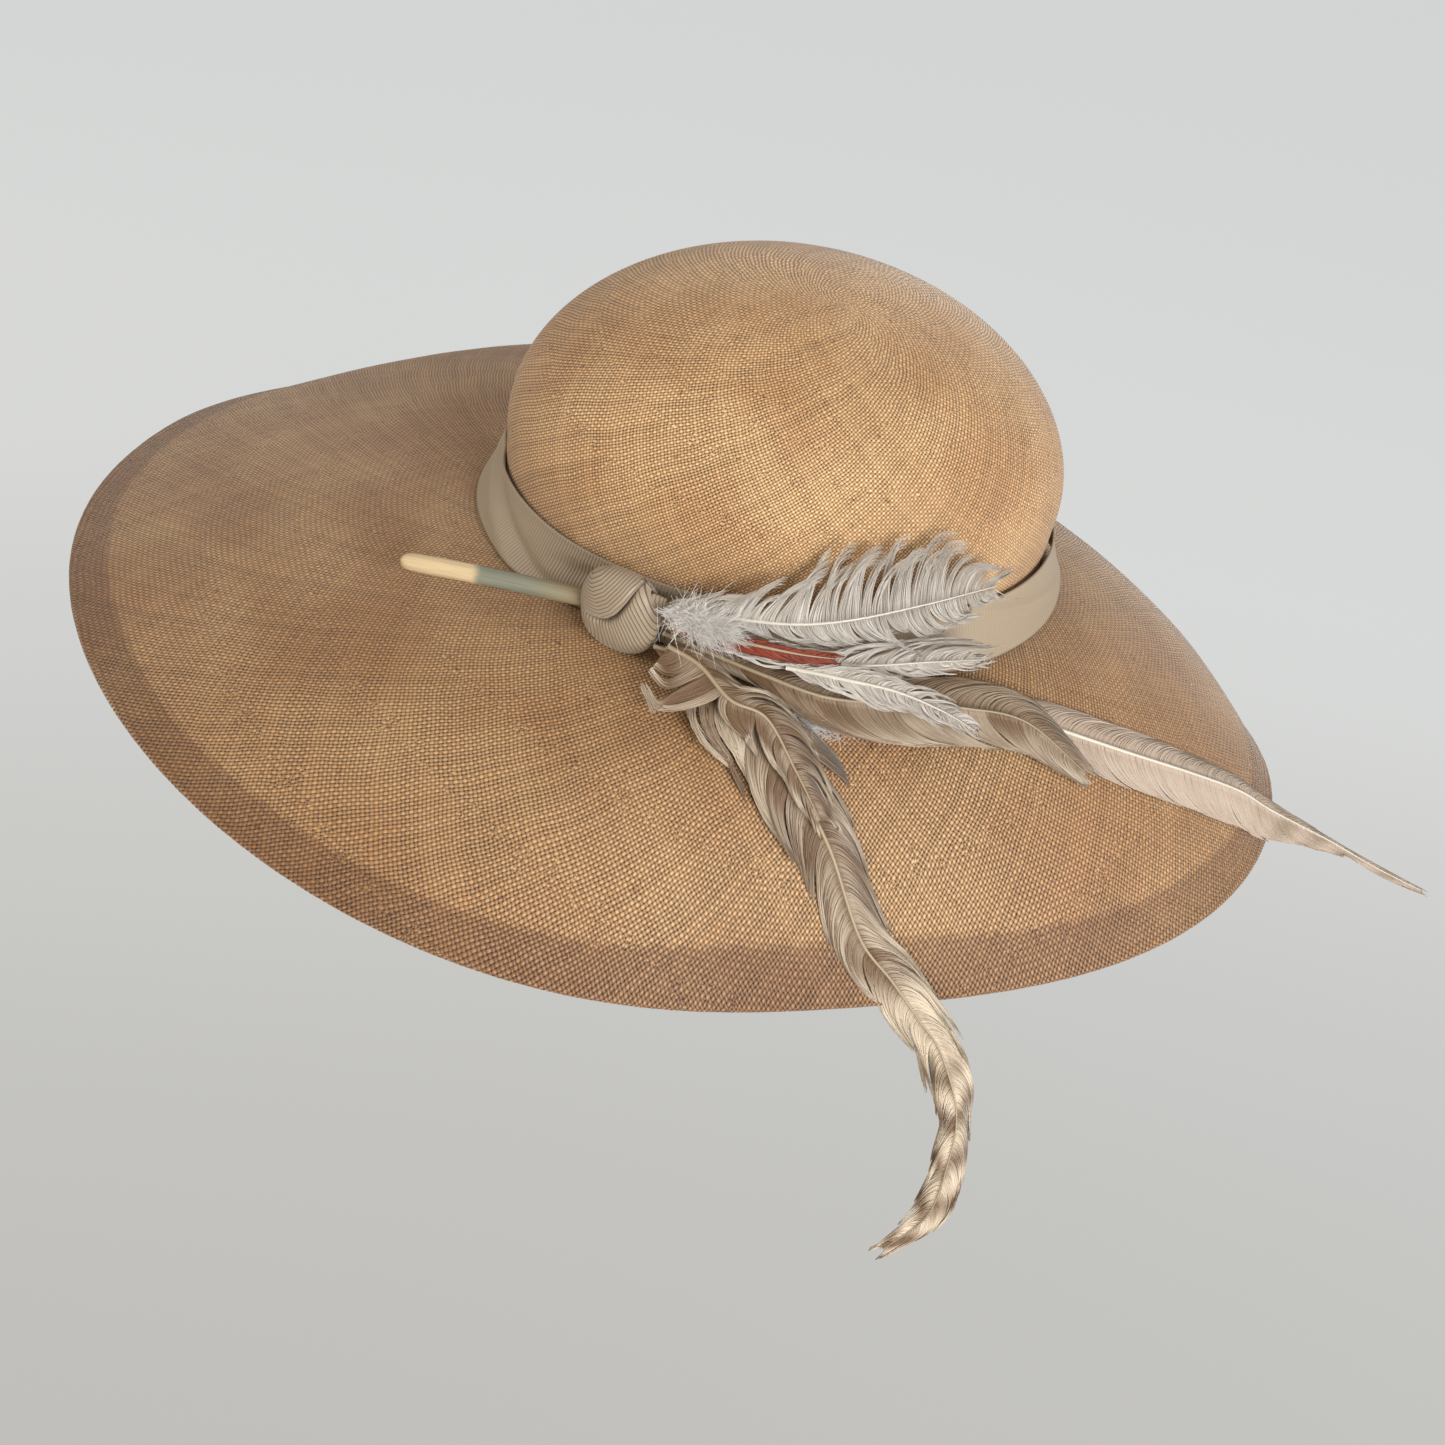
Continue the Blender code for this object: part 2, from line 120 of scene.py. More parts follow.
def tubes(paths, radii, sides=6, squash=1.0):
    # Closed round tubes along several paths of equal length: (points, faces).
    paths = np.asarray(paths, float)
    count, steps = paths.shape[:2]
    radii = np.broadcast_to(np.asarray(radii, float), (count, steps))
    tangent = unit(np.gradient(paths, axis=1))
    guide = np.where(np.abs(tangent[..., 2:]) > 0.9, [1.0, 0, 0], [0, 0, 1.0])
    across = unit(np.cross(tangent, guide))
    rise = np.cross(across, tangent)
    turn = np.linspace(0, 2 * np.pi, sides, endpoint=False)
    ring = (across[:, :, None] * np.cos(turn)[:, None] + rise[:, :, None] * np.sin(turn)[:, None] * squash)
    points = paths[:, :, None] + ring * radii[..., None, None]
    faces = []
    for n in range(count):
        start = n * steps * sides
        faces += gridFaces(steps, sides, closeColumns=True, start=start)
        faces.append(list(range(start, start + sides)))
        faces.append(list(range(start + (steps - 1) * sides, start + steps * sides))[::-1])
    return points.reshape(-1, 3), faces


hat = {
    "headLength": 195.4 * mm,
    "headWidth": 168.0 * mm,
    "crownHeight": 96.0 * mm,
    "crownSide": 31.0 * mm,
    "crownRoundness": 1.94,
    "clothWall": 1.0 * mm,
    # reach and height of the finished edge in mm, every 30 degrees from the wearer's left
    "brimEdge": [
        (170, -72), (165, -79), (197, -66), (207, -59), (182, -56), (162, -40),
        (177, -24), (220, -27), (251, -34), (249, -24), (233, -17), (207, -39),
    ],
    "brimBend": 1.72,
    "turnDown": 14.0 * mm,
    "turnDownFrom": 80,
    "turnDownTo": 262,
    "turnDownShare": 0.25,
    "unevenness": 0.35 * mm,
}


def roundAngles(count):
    return np.arange(count) * 360 / count


def roundWave(values, angle):
    parts = np.fft.rfft(values) / len(values)
    angle = np.asarray(angle, float)
    total = np.full(angle.shape, parts[0].real)
    for k in range(1, len(parts)):
        twice = 2 if 2 * k < len(values) else 1
        turn = np.radians(k * angle)
        total = total + twice * (parts[k].real * np.cos(turn) - parts[k].imag * np.sin(turn))
    return total


def headRadius(angle, out=0.0):
    a, b = hat["headWidth"] / 2, hat["headLength"] / 2
    turn = np.radians(angle)
    return a * b / np.hypot(b * np.cos(turn), a * np.sin(turn)) + out


def place(angle, radius, height):
    turn = np.radians(angle)
    x, y, z = np.broadcast_arrays(radius * np.cos(turn), radius * np.sin(turn), height)
    return np.stack([x, y, z], -1)


def brimReach(angle):
    return roundWave([reach * mm for reach, height in hat["brimEdge"]], angle)


def brimWidth(angle):
    return brimReach(angle) - headRadius(angle)


def turnedDown(angle):
    angle = np.asarray(angle, float) % 360
    rise = smooth(hat["turnDownFrom"], hat["turnDownFrom"] + 35, angle)
    return hat["turnDown"] * rise * (1 - smooth(hat["turnDownTo"] - 37, hat["turnDownTo"], angle))


def brimHeight(angle, share):
    edge = roundWave([height * mm for reach, height in hat["brimEdge"]], angle)
    share = np.clip(share, 0, 1)
    tail = np.maximum(share - 1 + hat["turnDownShare"], 0) / hat["turnDownShare"]
    return edge * share ** hat["brimBend"] - turnedDown(angle) * tail ** 2


def onBrim(angle, share, extra=0.0, lift=0.0):
    head = headRadius(angle)
    width = brimReach(angle) - head
    radius = head + share * width + extra
    return place(angle, radius, brimHeight(angle, (radius - head) / width) + lift)


def brimNormal(angle, share):
    share = np.clip(share, 0.03, 1)
    along = onBrim(angle + 1, share) - onBrim(angle - 1, share)
    outward = onBrim(angle, share) - onBrim(angle, share - 0.03)
    return unit(np.cross(outward, along))


weave = {
    "rowPitch": 1.64 * mm,     # rows of crossings, measured outwards from the tip
    "roundPitch": 1.52 * mm,   # crossings along a row
    "zoneGrowth": 1.19,        # threads are added each time a row has grown by this much
    "wander": 0.3,             # how far threads stray, in crossings
    "bumpDepth": 0.4 * mm,
    "tipShift": 17,            # degrees that the weave's middle leans towards the feathers
    "tipShiftAngle": 22,
}

def newGroup(name, inputs, outputs):
    group = bpy.data.node_groups.new(name, "ShaderNodeTree")
    for label, kind, value in inputs:
        socket = group.interface.new_socket(name=label, in_out="INPUT", socket_type=kind)
        if value is not None:
            socket.default_value = value
    for label, kind in outputs:
        group.interface.new_socket(name=label, in_out="OUTPUT", socket_type=kind)
    return group, group.nodes.new("NodeGroupInput"), group.nodes.new("NodeGroupOutput")


def feed(tree, socket, value):
    if isinstance(value, bpy.types.NodeSocket):
        tree.links.new(value, socket)
    else:
        socket.default_value = value


def math(tree, operation, *values, clamp=False):
    node = tree.nodes.new("ShaderNodeMath")
    node.operation = operation
    node.use_clamp = clamp
    for socket, value in zip(node.inputs, values):
        feed(tree, socket, value)
    return node.outputs[0]


def noiseOf(tree, vector, scale, detail=2.0, roughness=0.5, wanted="Fac"):
    node = tree.nodes.new("ShaderNodeTexNoise")
    feed(tree, node.inputs["Vector"], vector)
    node.inputs["Scale"].default_value = scale
    node.inputs["Detail"].default_value = detail
    node.inputs["Roughness"].default_value = roughness
    return node.outputs[wanted]


def mixColour(tree, factor, first, second, blend="MIX"):
    node = tree.nodes.new("ShaderNodeMix")
    node.data_type = "RGBA"
    node.blend_type = blend
    feed(tree, node.inputs["Factor"], factor)
    feed(tree, node.inputs[6], first)
    feed(tree, node.inputs[7], second)
    return node.outputs[2]


def tinted(tree, colour, tint, share=None):
    # The colour multiplied by a tint, as far as the share says.
    deeper = mixColour(tree, 1.0, colour, (*tint, 1), "MULTIPLY")
    return deeper if share is None else mixColour(tree, share, colour, deeper)


def spread(tree, value, low, high, lowTo=0.0, highTo=1.0, curve="SMOOTHSTEP"):
    node = tree.nodes.new("ShaderNodeMapRange")
    node.interpolation_type = curve
    feed(tree, node.inputs["Value"], value)
    for label, number in (("From Min", low), ("From Max", high), ("To Min", lowTo), ("To Max", highTo)):
        feed(tree, node.inputs[label], number)
    return node.outputs["Result"]


def ramp(tree, value, stops):
    node = tree.nodes.new("ShaderNodeValToRGB")
    feed(tree, node.inputs["Fac"], value)
    elements = node.color_ramp.elements
    while len(elements) < len(stops):
        elements.new(0.5)
    for element, (position, colour) in zip(elements, stops):
        element.position = position
        element.color = (*colour, 1)
    return node.outputs["Color"]


def markOf(tree, name, wanted="Fac"):
    node = tree.nodes.new("ShaderNodeAttribute")
    node.attribute_name = name
    return node.outputs[wanted]


def placed(tree, group, **values):
    node = tree.nodes.new("ShaderNodeGroup")
    node.node_tree = group
    for label, value in values.items():
        feed(tree, node.inputs[label], value)
    return node.outputs


def bumped(tree, height, distance, strength=1.0, below=None):
    node = tree.nodes.new("ShaderNodeBump")
    node.inputs["Strength"].default_value = strength
    node.inputs["Distance"].default_value = distance
    feed(tree, node.inputs["Height"], height)
    if below is not None:
        feed(tree, node.inputs["Normal"], below)
    return node.outputs["Normal"]


def newMaterial(name, **sockets):
    material = bpy.data.materials.new(name)
    material.use_nodes = True
    tree = material.node_tree
    shader = tree.nodes["Principled BSDF"]
    for label, value in sockets.items():
        shader.inputs[label.replace("_", " ")].default_value = value
    return material, tree, shader


def plainWeave():
    # Threads that cross on the slant, in rows round the hat. Cloth is (x, y, run from the tip) in metres.
    group, given, made = newGroup(
        "plainWeave",
        [("Cloth", "NodeSocketVector", None), ("Row Pitch", "NodeSocketFloat", 0.0016),
         ("Round Pitch", "NodeSocketFloat", 0.0015), ("Growth", "NodeSocketFloat", 1.2),
         ("Wander", "NodeSocketFloat", 0.5)],
        [("Height", "NodeSocketFloat"), ("Gap", "NodeSocketFloat"), ("Warp", "NodeSocketFloat"),
         ("Thread", "NodeSocketFloat")],
    )
    cloth, wander = given.outputs["Cloth"], given.outputs["Wander"]
    split = group.nodes.new("ShaderNodeSeparateXYZ")
    group.links.new(cloth, split.inputs[0])
    x, y, run = split.outputs
    drift = group.nodes.new("ShaderNodeSeparateXYZ")
    group.links.new(noiseOf(group, cloth, 62.0, 1.0, wanted="Color"), drift.inputs[0])
    strayed = [math(group, "MULTIPLY", math(group, "SUBTRACT", drift.outputs[i], 0.5),
                    math(group, "MULTIPLY", wander, 4.0))
               for i in (0, 1)]
    radius = math(group, "SQRT",
                  math(group, "ADD", math(group, "MULTIPLY", x, x), math(group, "MULTIPLY", y, y)))
    zone = math(group, "LOGARITHM", math(group, "DIVIDE", math(group, "MAXIMUM", radius, 0.001), 0.09),
                given.outputs["Growth"])
    jitter = math(group, "SUBTRACT", noiseOf(group, cloth, 260.0, 1.0), 0.5)
    zone = math(group, "FLOOR",
                math(group, "ADD", math(group, "ADD", zone, 0.5), math(group, "MULTIPLY", jitter, 0.7)))
    atGauge = math(group, "DIVIDE", 0.09 * 6.28319, given.outputs["Round Pitch"])
    count = math(group, "ROUND",
                 math(group, "MULTIPLY", atGauge, math(group, "POWER", given.outputs["Growth"], zone)))
    turn = math(group, "DIVIDE", math(group, "ARCTAN2", y, x), 6.28319)
    row = math(group, "ADD", math(group, "DIVIDE", run, given.outputs["Row Pitch"]), strayed[0])
    step = math(group, "ADD", math(group, "MULTIPLY", turn, count), strayed[1])
    cells, insides, widths, tones = [], [], [], []
    for value, seed in ((math(group, "ADD", row, step), 3.1), (math(group, "SUBTRACT", row, step), 9.7)):
        cell = math(group, "FLOOR", value)
        cells.append(cell)
        insides.append(math(group, "SUBTRACT", math(group, "SUBTRACT", value, cell), 0.5))
        white = group.nodes.new("ShaderNodeTexWhiteNoise")
        white.noise_dimensions = "2D"
        pair = group.nodes.new("ShaderNodeCombineXYZ")
        group.links.new(cell, pair.inputs[0])
        pair.inputs[1].default_value = seed
        group.links.new(pair.outputs[0], white.inputs["Vector"])
        widths.append(spread(group, white.outputs["Value"], 0.0, 1.0, 0.3, 0.41, "LINEAR"))
        tones.append(white.outputs["Value"])
    together = math(group, "ADD", cells[0], cells[1])
    half = math(group, "MULTIPLY", together, 0.5)
    odd = math(group, "MULTIPLY", math(group, "SUBTRACT", half, math(group, "FLOOR", half)), 2.0)
    sign = math(group, "SUBTRACT", 1.0, math(group, "MULTIPLY", odd, 2.0))
    heights = []
    for own, other, turned in ((0, 1, 1.0), (1, 0, -1.0)):
        share = math(group, "DIVIDE", insides[own], widths[own])
        rest = math(group, "SUBTRACT", 1.0, math(group, "MULTIPLY", share, share))
        roundness = math(group, "SQRT", math(group, "MAXIMUM", 0.0, rest))
        lift = math(group, "COSINE", math(group, "MULTIPLY", insides[other], 3.14159))
        lift = math(group, "MULTIPLY", math(group, "MULTIPLY", lift, sign), 0.45 * turned)
        missing = math(group, "GREATER_THAN", math(group, "ABSOLUTE", share), 1.0)
        height = math(group, "ADD", math(group, "MULTIPLY", roundness, 0.5), lift)
        heights.append(math(group, "SUBTRACT", height, math(group, "MULTIPLY", missing, 3.0)))
    warp = math(group, "GREATER_THAN", heights[0], heights[1])
    top = math(group, "MAXIMUM", math(group, "MAXIMUM", heights[0], heights[1]), -0.45)
    group.links.new(math(group, "DIVIDE", math(group, "ADD", top, 0.45), 1.4), made.inputs["Height"])
    group.links.new(math(group, "LESS_THAN", top, -0.3), made.inputs["Gap"])
    group.links.new(warp, made.inputs["Warp"])
    tone = math(group, "ADD", math(group, "MULTIPLY", tones[0], warp),
                math(group, "MULTIPLY", tones[1], math(group, "SUBTRACT", 1.0, warp)))
    group.links.new(tone, made.inputs["Thread"])
    return group


def patchy():
    # Broad and fine unevenness of a dyed or aged surface, both about 0 to 1.
    group, given, made = newGroup(
        "patchy",
        [("Place", "NodeSocketVector", None), ("Broad Scale", "NodeSocketFloat", 20.0),
         ("Fleck Scale", "NodeSocketFloat", 300.0)],
        [("Broad", "NodeSocketFloat"), ("Fleck", "NodeSocketFloat")],
    )
    for label, scale, low, high, out in (("Broad Scale", 20.0, 0.3, 0.7, "Broad"),
                                         ("Fleck Scale", 300.0, 0.66, 0.78, "Fleck")):
        node = group.nodes.new("ShaderNodeTexNoise")
        group.links.new(given.outputs["Place"], node.inputs["Vector"])
        group.links.new(given.outputs[label], node.inputs["Scale"])
        node.inputs["Detail"].default_value = 3.0
        group.links.new(spread(group, node.outputs["Fac"], low, high), made.inputs[out])
    return group


def ribLines():
    # Fine raised ribs across a ribbon. Ribs is the distance along the ribbon in metres.
    group, given, made = newGroup(
        "ribLines",
        [("Ribs", "NodeSocketFloat", 0.0), ("Pitch", "NodeSocketFloat", 0.0012)],
        [("Height", "NodeSocketFloat"), ("Groove", "NodeSocketFloat")],
    )
    turns = math(group, "DIVIDE", given.outputs["Ribs"], given.outputs["Pitch"])
    wave = math(group, "ABSOLUTE", math(group, "COSINE", math(group, "MULTIPLY", turns, 3.14159)))
    group.links.new(math(group, "POWER", wave, 0.6), made.inputs["Height"])
    group.links.new(spread(group, wave, 0.0, 0.5, 1.0, 0.0), made.inputs["Groove"])
    return group


def barbStreaks():
    # Fine lines along the barbs, from each barb's own number and its place.
    group, given, made = newGroup(
        "barbStreaks",
        [("Barb", "NodeSocketFloat", 0.0), ("Along", "NodeSocketFloat", 0.0)],
        [("Streak", "NodeSocketFloat"), ("Tip", "NodeSocketFloat")],
    )
    pair = group.nodes.new("ShaderNodeCombineXYZ")
    group.links.new(math(group, "MULTIPLY", given.outputs["Barb"], 37.0), pair.inputs[0])
    group.links.new(math(group, "MULTIPLY", given.outputs["Along"], 1.6), pair.inputs[1])
    group.links.new(noiseOf(group, pair.outputs[0], 1.0, 3.0), made.inputs["Streak"])
    group.links.new(spread(group, given.outputs["Along"], 0.55, 1.0), made.inputs["Tip"])
    return group


weaveGroup, patchyGroup, ribGroup, streakGroup = plainWeave(), patchy(), ribLines(), barbStreaks()

straw = {
    # the two darkest colours, for the holes and the low parts of the threads, are painted shade down in the
    # weave; the crest is the straw's own colour
    "holeShadow": (0.06, 0.025, 0.008),
    "lowShade": (0.24, 0.115, 0.038),
    "middle": (0.42, 0.24, 0.10),
    "crest": (0.78, 0.50, 0.25),
    "under": 0.8,  # brightness of the crossings where the other set of threads is on top
    "patch": (0.80, 0.70, 0.62),
    "fleck": (0.50, 0.36, 0.26),
    # painted shade: the brim's copy of the straw is made darker all over than the crown's
    "brimPaintedShade": (0.70, 0.66, 0.62),
    # painted shade over the band where the turned-under hem lies below the top layer
    "hemPaintedShade": (0.66, 0.60, 0.56),
}


def strawMaterial(name, hemmed=False):
    material, tree, shader = newMaterial(name, Roughness=0.5, Sheen_Weight=0.5, Sheen_Roughness=0.35,
                                         Sheen_Tint=(1.0, 0.92, 0.86, 1), Specular_IOR_Level=0.4)
    cloth = markOf(tree, "cloth", "Vector")
    threads = placed(tree, weaveGroup, Cloth=cloth, Growth=weave["zoneGrowth"], Wander=weave["wander"],
                     **{"Row Pitch": weave["rowPitch"], "Round Pitch": weave["roundPitch"]})
    spots = placed(tree, patchyGroup, Place=cloth)
    # colour by thread height: painted shade in the holes and low parts, the straw's own colour on the
    # crests
    colour = ramp(tree, threads["Height"], [(0.0, straw["holeShadow"]), (0.32, straw["lowShade"]),
                                            (0.6, straw["middle"]), (1.0, straw["crest"])])
    toned = spread(tree, threads["Thread"], 0.0, 1.0, 0.9, 1.08, "LINEAR")
    crossing = math(tree, "ADD", straw["under"],
                    math(tree, "MULTIPLY", threads["Warp"], 1.12 - straw["under"]))
    toned = math(tree, "MULTIPLY", toned, crossing)
    shade = tree.nodes.new("ShaderNodeCombineColor")
    for channel in shade.inputs:
        tree.links.new(toned, channel)
    colour = mixColour(tree, 1.0, colour, shade.outputs[0], "MULTIPLY")
    colour = tinted(tree, colour, straw["patch"], spots["Broad"])
    colour = tinted(tree, colour, straw["fleck"], spots["Fleck"])
    # the brim's straw gets painted shade all over, and more painted shade on the hem band
    if hemmed:
        colour = tinted(tree, colour, straw["brimPaintedShade"])
        colour = tinted(tree, colour, straw["hemPaintedShade"], markOf(tree, "hemmed"))
    tree.links.new(colour, shader.inputs["Base Color"])
    tree.links.new(spread(tree, threads["Height"], 0.0, 1.0, 0.8, 0.42, "LINEAR"),
                   shader.inputs["Roughness"])
    tree.links.new(bumped(tree, threads["Height"], weave["bumpDepth"]), shader.inputs["Normal"])
    return material


grosgrain = {
    "colour": (0.35, 0.268, 0.18),
    # the groove colour is painted shade in the grooves between the ribs
    "groove": (0.085, 0.06, 0.04),
    "ribPitch": 1.25 * mm,
    "ribDepth": 0.22 * mm,
}


def ribbonMaterial(name, colour, groove, pitch, depth):
    material, tree, shader = newMaterial(name, Roughness=0.5, Sheen_Weight=0.35, Sheen_Roughness=0.35,
                                         Sheen_Tint=(1.0, 0.95, 0.9, 1))
    ribs = placed(tree, ribGroup, Ribs=markOf(tree, "ribs"), Pitch=pitch)
    place_ = tree.nodes.new("ShaderNodeTexCoord").outputs["Object"]
    spots = placed(tree, patchyGroup, Place=place_)
    strength = markOf(tree, "ribShow")
    # the grooves between the ribs get the dark groove colour as painted shade, as strongly as ribShow says
    paintedGrooveShade = math(tree, "MULTIPLY", ribs["Groove"], strength)
    body = mixColour(tree, math(tree, "MULTIPLY", spots["Broad"], 0.25), (*colour, 1),
                     (*[c * 0.8 for c in colour], 1))
    tree.links.new(mixColour(tree, paintedGrooveShade, body, (*groove, 1)), shader.inputs["Base Color"])
    fine = noiseOf(tree, place_, 2500.0, 1.0)
    height = math(tree, "ADD", math(tree, "MULTIPLY", ribs["Height"], strength),
                  math(tree, "MULTIPLY", fine, 0.25))
    tree.links.new(bumped(tree, height, depth), shader.inputs["Normal"])
    tree.links.new(spread(tree, ribs["Height"], 0.0, 1.0, 0.7, 0.45, "LINEAR"), shader.inputs["Roughness"])
    return material


horn = {"cream": (0.66, 0.50, 0.29), "grey": (0.22, 0.225, 0.165), "brown": (0.30, 0.235, 0.13)}


def quillMaterial(name):
    material, tree, shader = newMaterial(name, Specular_IOR_Level=0.5, Coat_Weight=0.25,
                                         Coat_Roughness=0.25)
    along, around = markOf(tree, "along"), markOf(tree, "around")
    pair = tree.nodes.new("ShaderNodeCombineXYZ")
    tree.links.new(math(tree, "MULTIPLY", along, 1.2), pair.inputs[0])
    tree.links.new(math(tree, "MULTIPLY", around, 7.0), pair.inputs[1])
    grooves = noiseOf(tree, pair.outputs[0], 2.0, 4.0)
    edge = math(tree, "ADD", along, math(tree, "MULTIPLY", math(tree, "SUBTRACT", grooves, 0.5), 0.08))
    body = ramp(tree, along,
                [(0.0, horn["brown"]), (0.3, horn["grey"]), (0.52, horn["grey"]), (1.0, horn["grey"])])
    colour = mixColour(tree, spread(tree, edge, 0.54, 0.6), body, (*horn["cream"], 1))
    colour = tinted(tree, colour, (0.55, 0.52, 0.42), spread(tree, grooves, 0.35, 0.75, 0.0, 0.45))
    tree.links.new(colour, shader.inputs["Base Color"])
    tree.links.new(spread(tree, grooves, 0.2, 0.8, 0.32, 0.55), shader.inputs["Roughness"])
    tree.links.new(bumped(tree, grooves, 0.25 * mm), shader.inputs["Normal"])
    return material


def barbMaterial(name, dark, light, streak=0.35, roughness=0.5, sheen=0.3):
    material, tree, shader = newMaterial(name, Sheen_Weight=sheen, Sheen_Roughness=0.35,
                                         Roughness=roughness,
                                         Specular_IOR_Level=0.35)
    streaks = placed(tree, streakGroup, Barb=markOf(tree, "barb"), Along=markOf(tree, "along"))
    colour = mixColour(tree, markOf(tree, "tone"), (*dark, 1), (*light, 1))
    colour = tinted(tree, colour, (0.62, 0.56, 0.5),
                    spread(tree, streaks["Streak"], 0.35, 0.7, 0.0, streak))
    tree.links.new(colour, shader.inputs["Base Color"])
    tree.links.new(spread(tree, streaks["Streak"], 0.3, 0.7, roughness - 0.1, roughness + 0.12),
                   shader.inputs["Roughness"])
    return material


def threadMaterial(name, colour, metallic=0.0, roughness=0.7):
    material, tree, shader = newMaterial(name, Roughness=roughness, Metallic=metallic)
    place_ = tree.nodes.new("ShaderNodeTexCoord").outputs["Object"]
    fine = noiseOf(tree, place_, 1800.0, 2.0)
    tree.links.new(mixColour(tree, fine, (*[c * 0.75 for c in colour], 1), (*colour, 1)),
                   shader.inputs["Base Color"])
    tree.links.new(bumped(tree, fine, 0.1 * mm), shader.inputs["Normal"])
    return material


materials = {
    "crownStraw": strawMaterial("woven straw of the crown"),
    "brimStraw": strawMaterial("woven straw of the brim with painted shade", hemmed=True),
    "ribbon": ribbonMaterial("grosgrain ribbon", grosgrain["colour"], grosgrain["groove"],
                             grosgrain["ribPitch"], grosgrain["ribDepth"]),
    # the head ribbon's second colour is painted shade in its rib grooves
    "headRibbon": ribbonMaterial("cotton head ribbon", (0.60, 0.50, 0.36), (0.30, 0.24, 0.16),
                                 0.9 * mm, 0.15 * mm),
    "wire": threadMaterial("edge wire", (0.5, 0.5, 0.5), 1.0, 0.4),
    "stitch": threadMaterial("sewing thread", (0.50, 0.36, 0.22)),
    "quill": quillMaterial("horn of the quill"),
    "shaft": threadMaterial("feather shaft", (0.42, 0.32, 0.20), 0.0, 0.45),
    "paleShaft": threadMaterial("pale feather shaft", (0.72, 0.66, 0.55), 0.0, 0.45),
    "tan": barbMaterial("tan barbs", (0.165, 0.095, 0.048), (0.68, 0.565, 0.42), 0.45, 0.45, 0.12),
    "pale": barbMaterial("pale barbs", (0.27, 0.19, 0.12), (0.56, 0.445, 0.35), 0.25, 0.45, 0.12),
    "white": barbMaterial("white barbs", (0.29, 0.225, 0.165), (0.77, 0.715, 0.64), 0.42, 0.6, 0.2),
    "red": barbMaterial("red barbs", (0.10, 0.014, 0.007), (0.33, 0.052, 0.018), 0.5, 0.5, 0.05),
    "down": barbMaterial("down", (0.66, 0.60, 0.53), (0.96, 0.94, 0.91), 0.1, 0.7, 0.2),
}
print("materials made")

crown = {"around": 360, "sideRows": 14, "domeRows": 64}


def crownRun():
    # cloth distance from the tip, for the mean oval, as (height, run) pairs
    t = np.linspace(0, np.pi / 2, 300)
    power = 2 / hat["crownRoundness"]
    mean = (hat["headLength"] + hat["headWidth"]) / 4
    radius = np.concatenate([[mean], mean * np.cos(t) ** power])
    height = np.concatenate([[0], hat["crownSide"]
                             + (hat["crownHeight"] - hat["crownSide"]) * np.sin(t) ** power])
    run = np.concatenate([[0], np.cumsum(np.hypot(np.diff(radius), np.diff(height)))])
    return radius / mean, height, run[-1] - run


def buildCrown():
    shares, heights, runs = crownRun()
    t = np.linspace(0, np.pi / 2, crown["domeRows"] + 1)[:-1]
    power = 2 / hat["crownRoundness"]
    share = np.concatenate([np.ones(crown["sideRows"]), np.cos(t) ** power])
    height = np.concatenate([np.linspace(0, hat["crownSide"], crown["sideRows"], endpoint=False),
                             hat["crownSide"]
                             + (hat["crownHeight"] - hat["crownSide"]) * np.sin(t) ** power])
    angle = roundAngles(crown["around"])
    angles, shareGrid = np.meshgrid(angle, share, indexing="ij")
    heightGrid = np.broadcast_to(height, angles.shape)
    points = place(angles, headRadius(angles) * shareGrid, heightGrid)
    tip = np.array([[0, 0, hat["crownHeight"]]])
    points = np.concatenate([points.reshape(-1, 3), tip])
    # the hand-blocked surface is never quite even
    turn = np.radians(np.concatenate([angles.reshape(-1), [0]]))
    level = points[:, 2] / hat["crownHeight"]
    uneven = (ripple(turn * 2, 4) * np.sin(np.pi * level)
              + ripple(level * 5 + turn * 3, 8) * (1 - level)) * 0.5
    fade = smooth(0.0, 0.12, level)
    outward = unit(points - [0, 0, hat["crownSide"] * 0.6])
    shaped = points + outward * (uneven * fade * hat["unevenness"])[:, None]
    # where each spot lies in the cloth, with the weave's middle leaning over
    run = np.interp(points[:, 2], heights, runs)
    reach = run / runs[0]
    lean = radians(weave["tipShift"]) * runs[0] / (np.pi / 2) * np.clip(1 - reach ** 2, 0, 1)
    plane = np.stack([np.cos(turn) * run, np.sin(turn) * run], -1)
    shift = np.stack([np.cos(radians(weave["tipShiftAngle"])) * lean,
                      np.sin(radians(weave["tipShiftAngle"])) * lean], -1)
    moved = plane - shift
    runMoved = np.linalg.norm(moved, axis=-1)
    ring = np.interp(runMoved, runs[::-1], shares[::-1]) * (hat["headLength"] + hat["headWidth"]) / 4
    flat = unit(moved) * ring[:, None]
    cloth = np.concatenate([flat, runMoved[:, None]], -1)
    faces = gridFaces(len(angle), len(share), closeRows=True)
    last = len(share)
    top = len(points) - 1
    faces += [[i * last + last - 1, top,
               ((i + 1) % len(angle)) * last + last - 1] for i in range(len(angle))]
    faces = [face[::-1] for face in faces]
    piece = newPiece("crownCloth", shaped, faces, materials["crownStraw"], "hat", ["crown"],
                     {"cloth": cloth})
    wall = piece.modifiers.new("wall", "SOLIDIFY")
    wall.thickness = hat["clothWall"]
    wall.offset = -1
    return piece


buildCrown()
print("crown made")

brim = {
    "around": 720,
    "rows": 96,
    "edgeRound": 1.15 * mm,
    "collarHeight": 8.0 * mm,
    "collarRound": 3.0 * mm,
    "stand": 0.8 * mm,
    "hemWidth": 12.0 * mm,
    "hemWall": 0.6 * mm,
    "hemStitch": 7.5 * mm,
}


def brimRun(angle, share):
    # rows start parallel to the head and end nearly parallel to the edge
    width = brimWidth(angle)
    return 0.156 + share * lerp(width, 0.118, 0.5)


def brimMarks(angle, share, back):
    point = onBrim(angle, share)
    run = brimRun(angle, share)
    cloth = np.stack([point[..., 0], point[..., 1], np.broadcast_to(run, point.shape[:-1])], -1)
    return cloth.reshape(-1, 3)


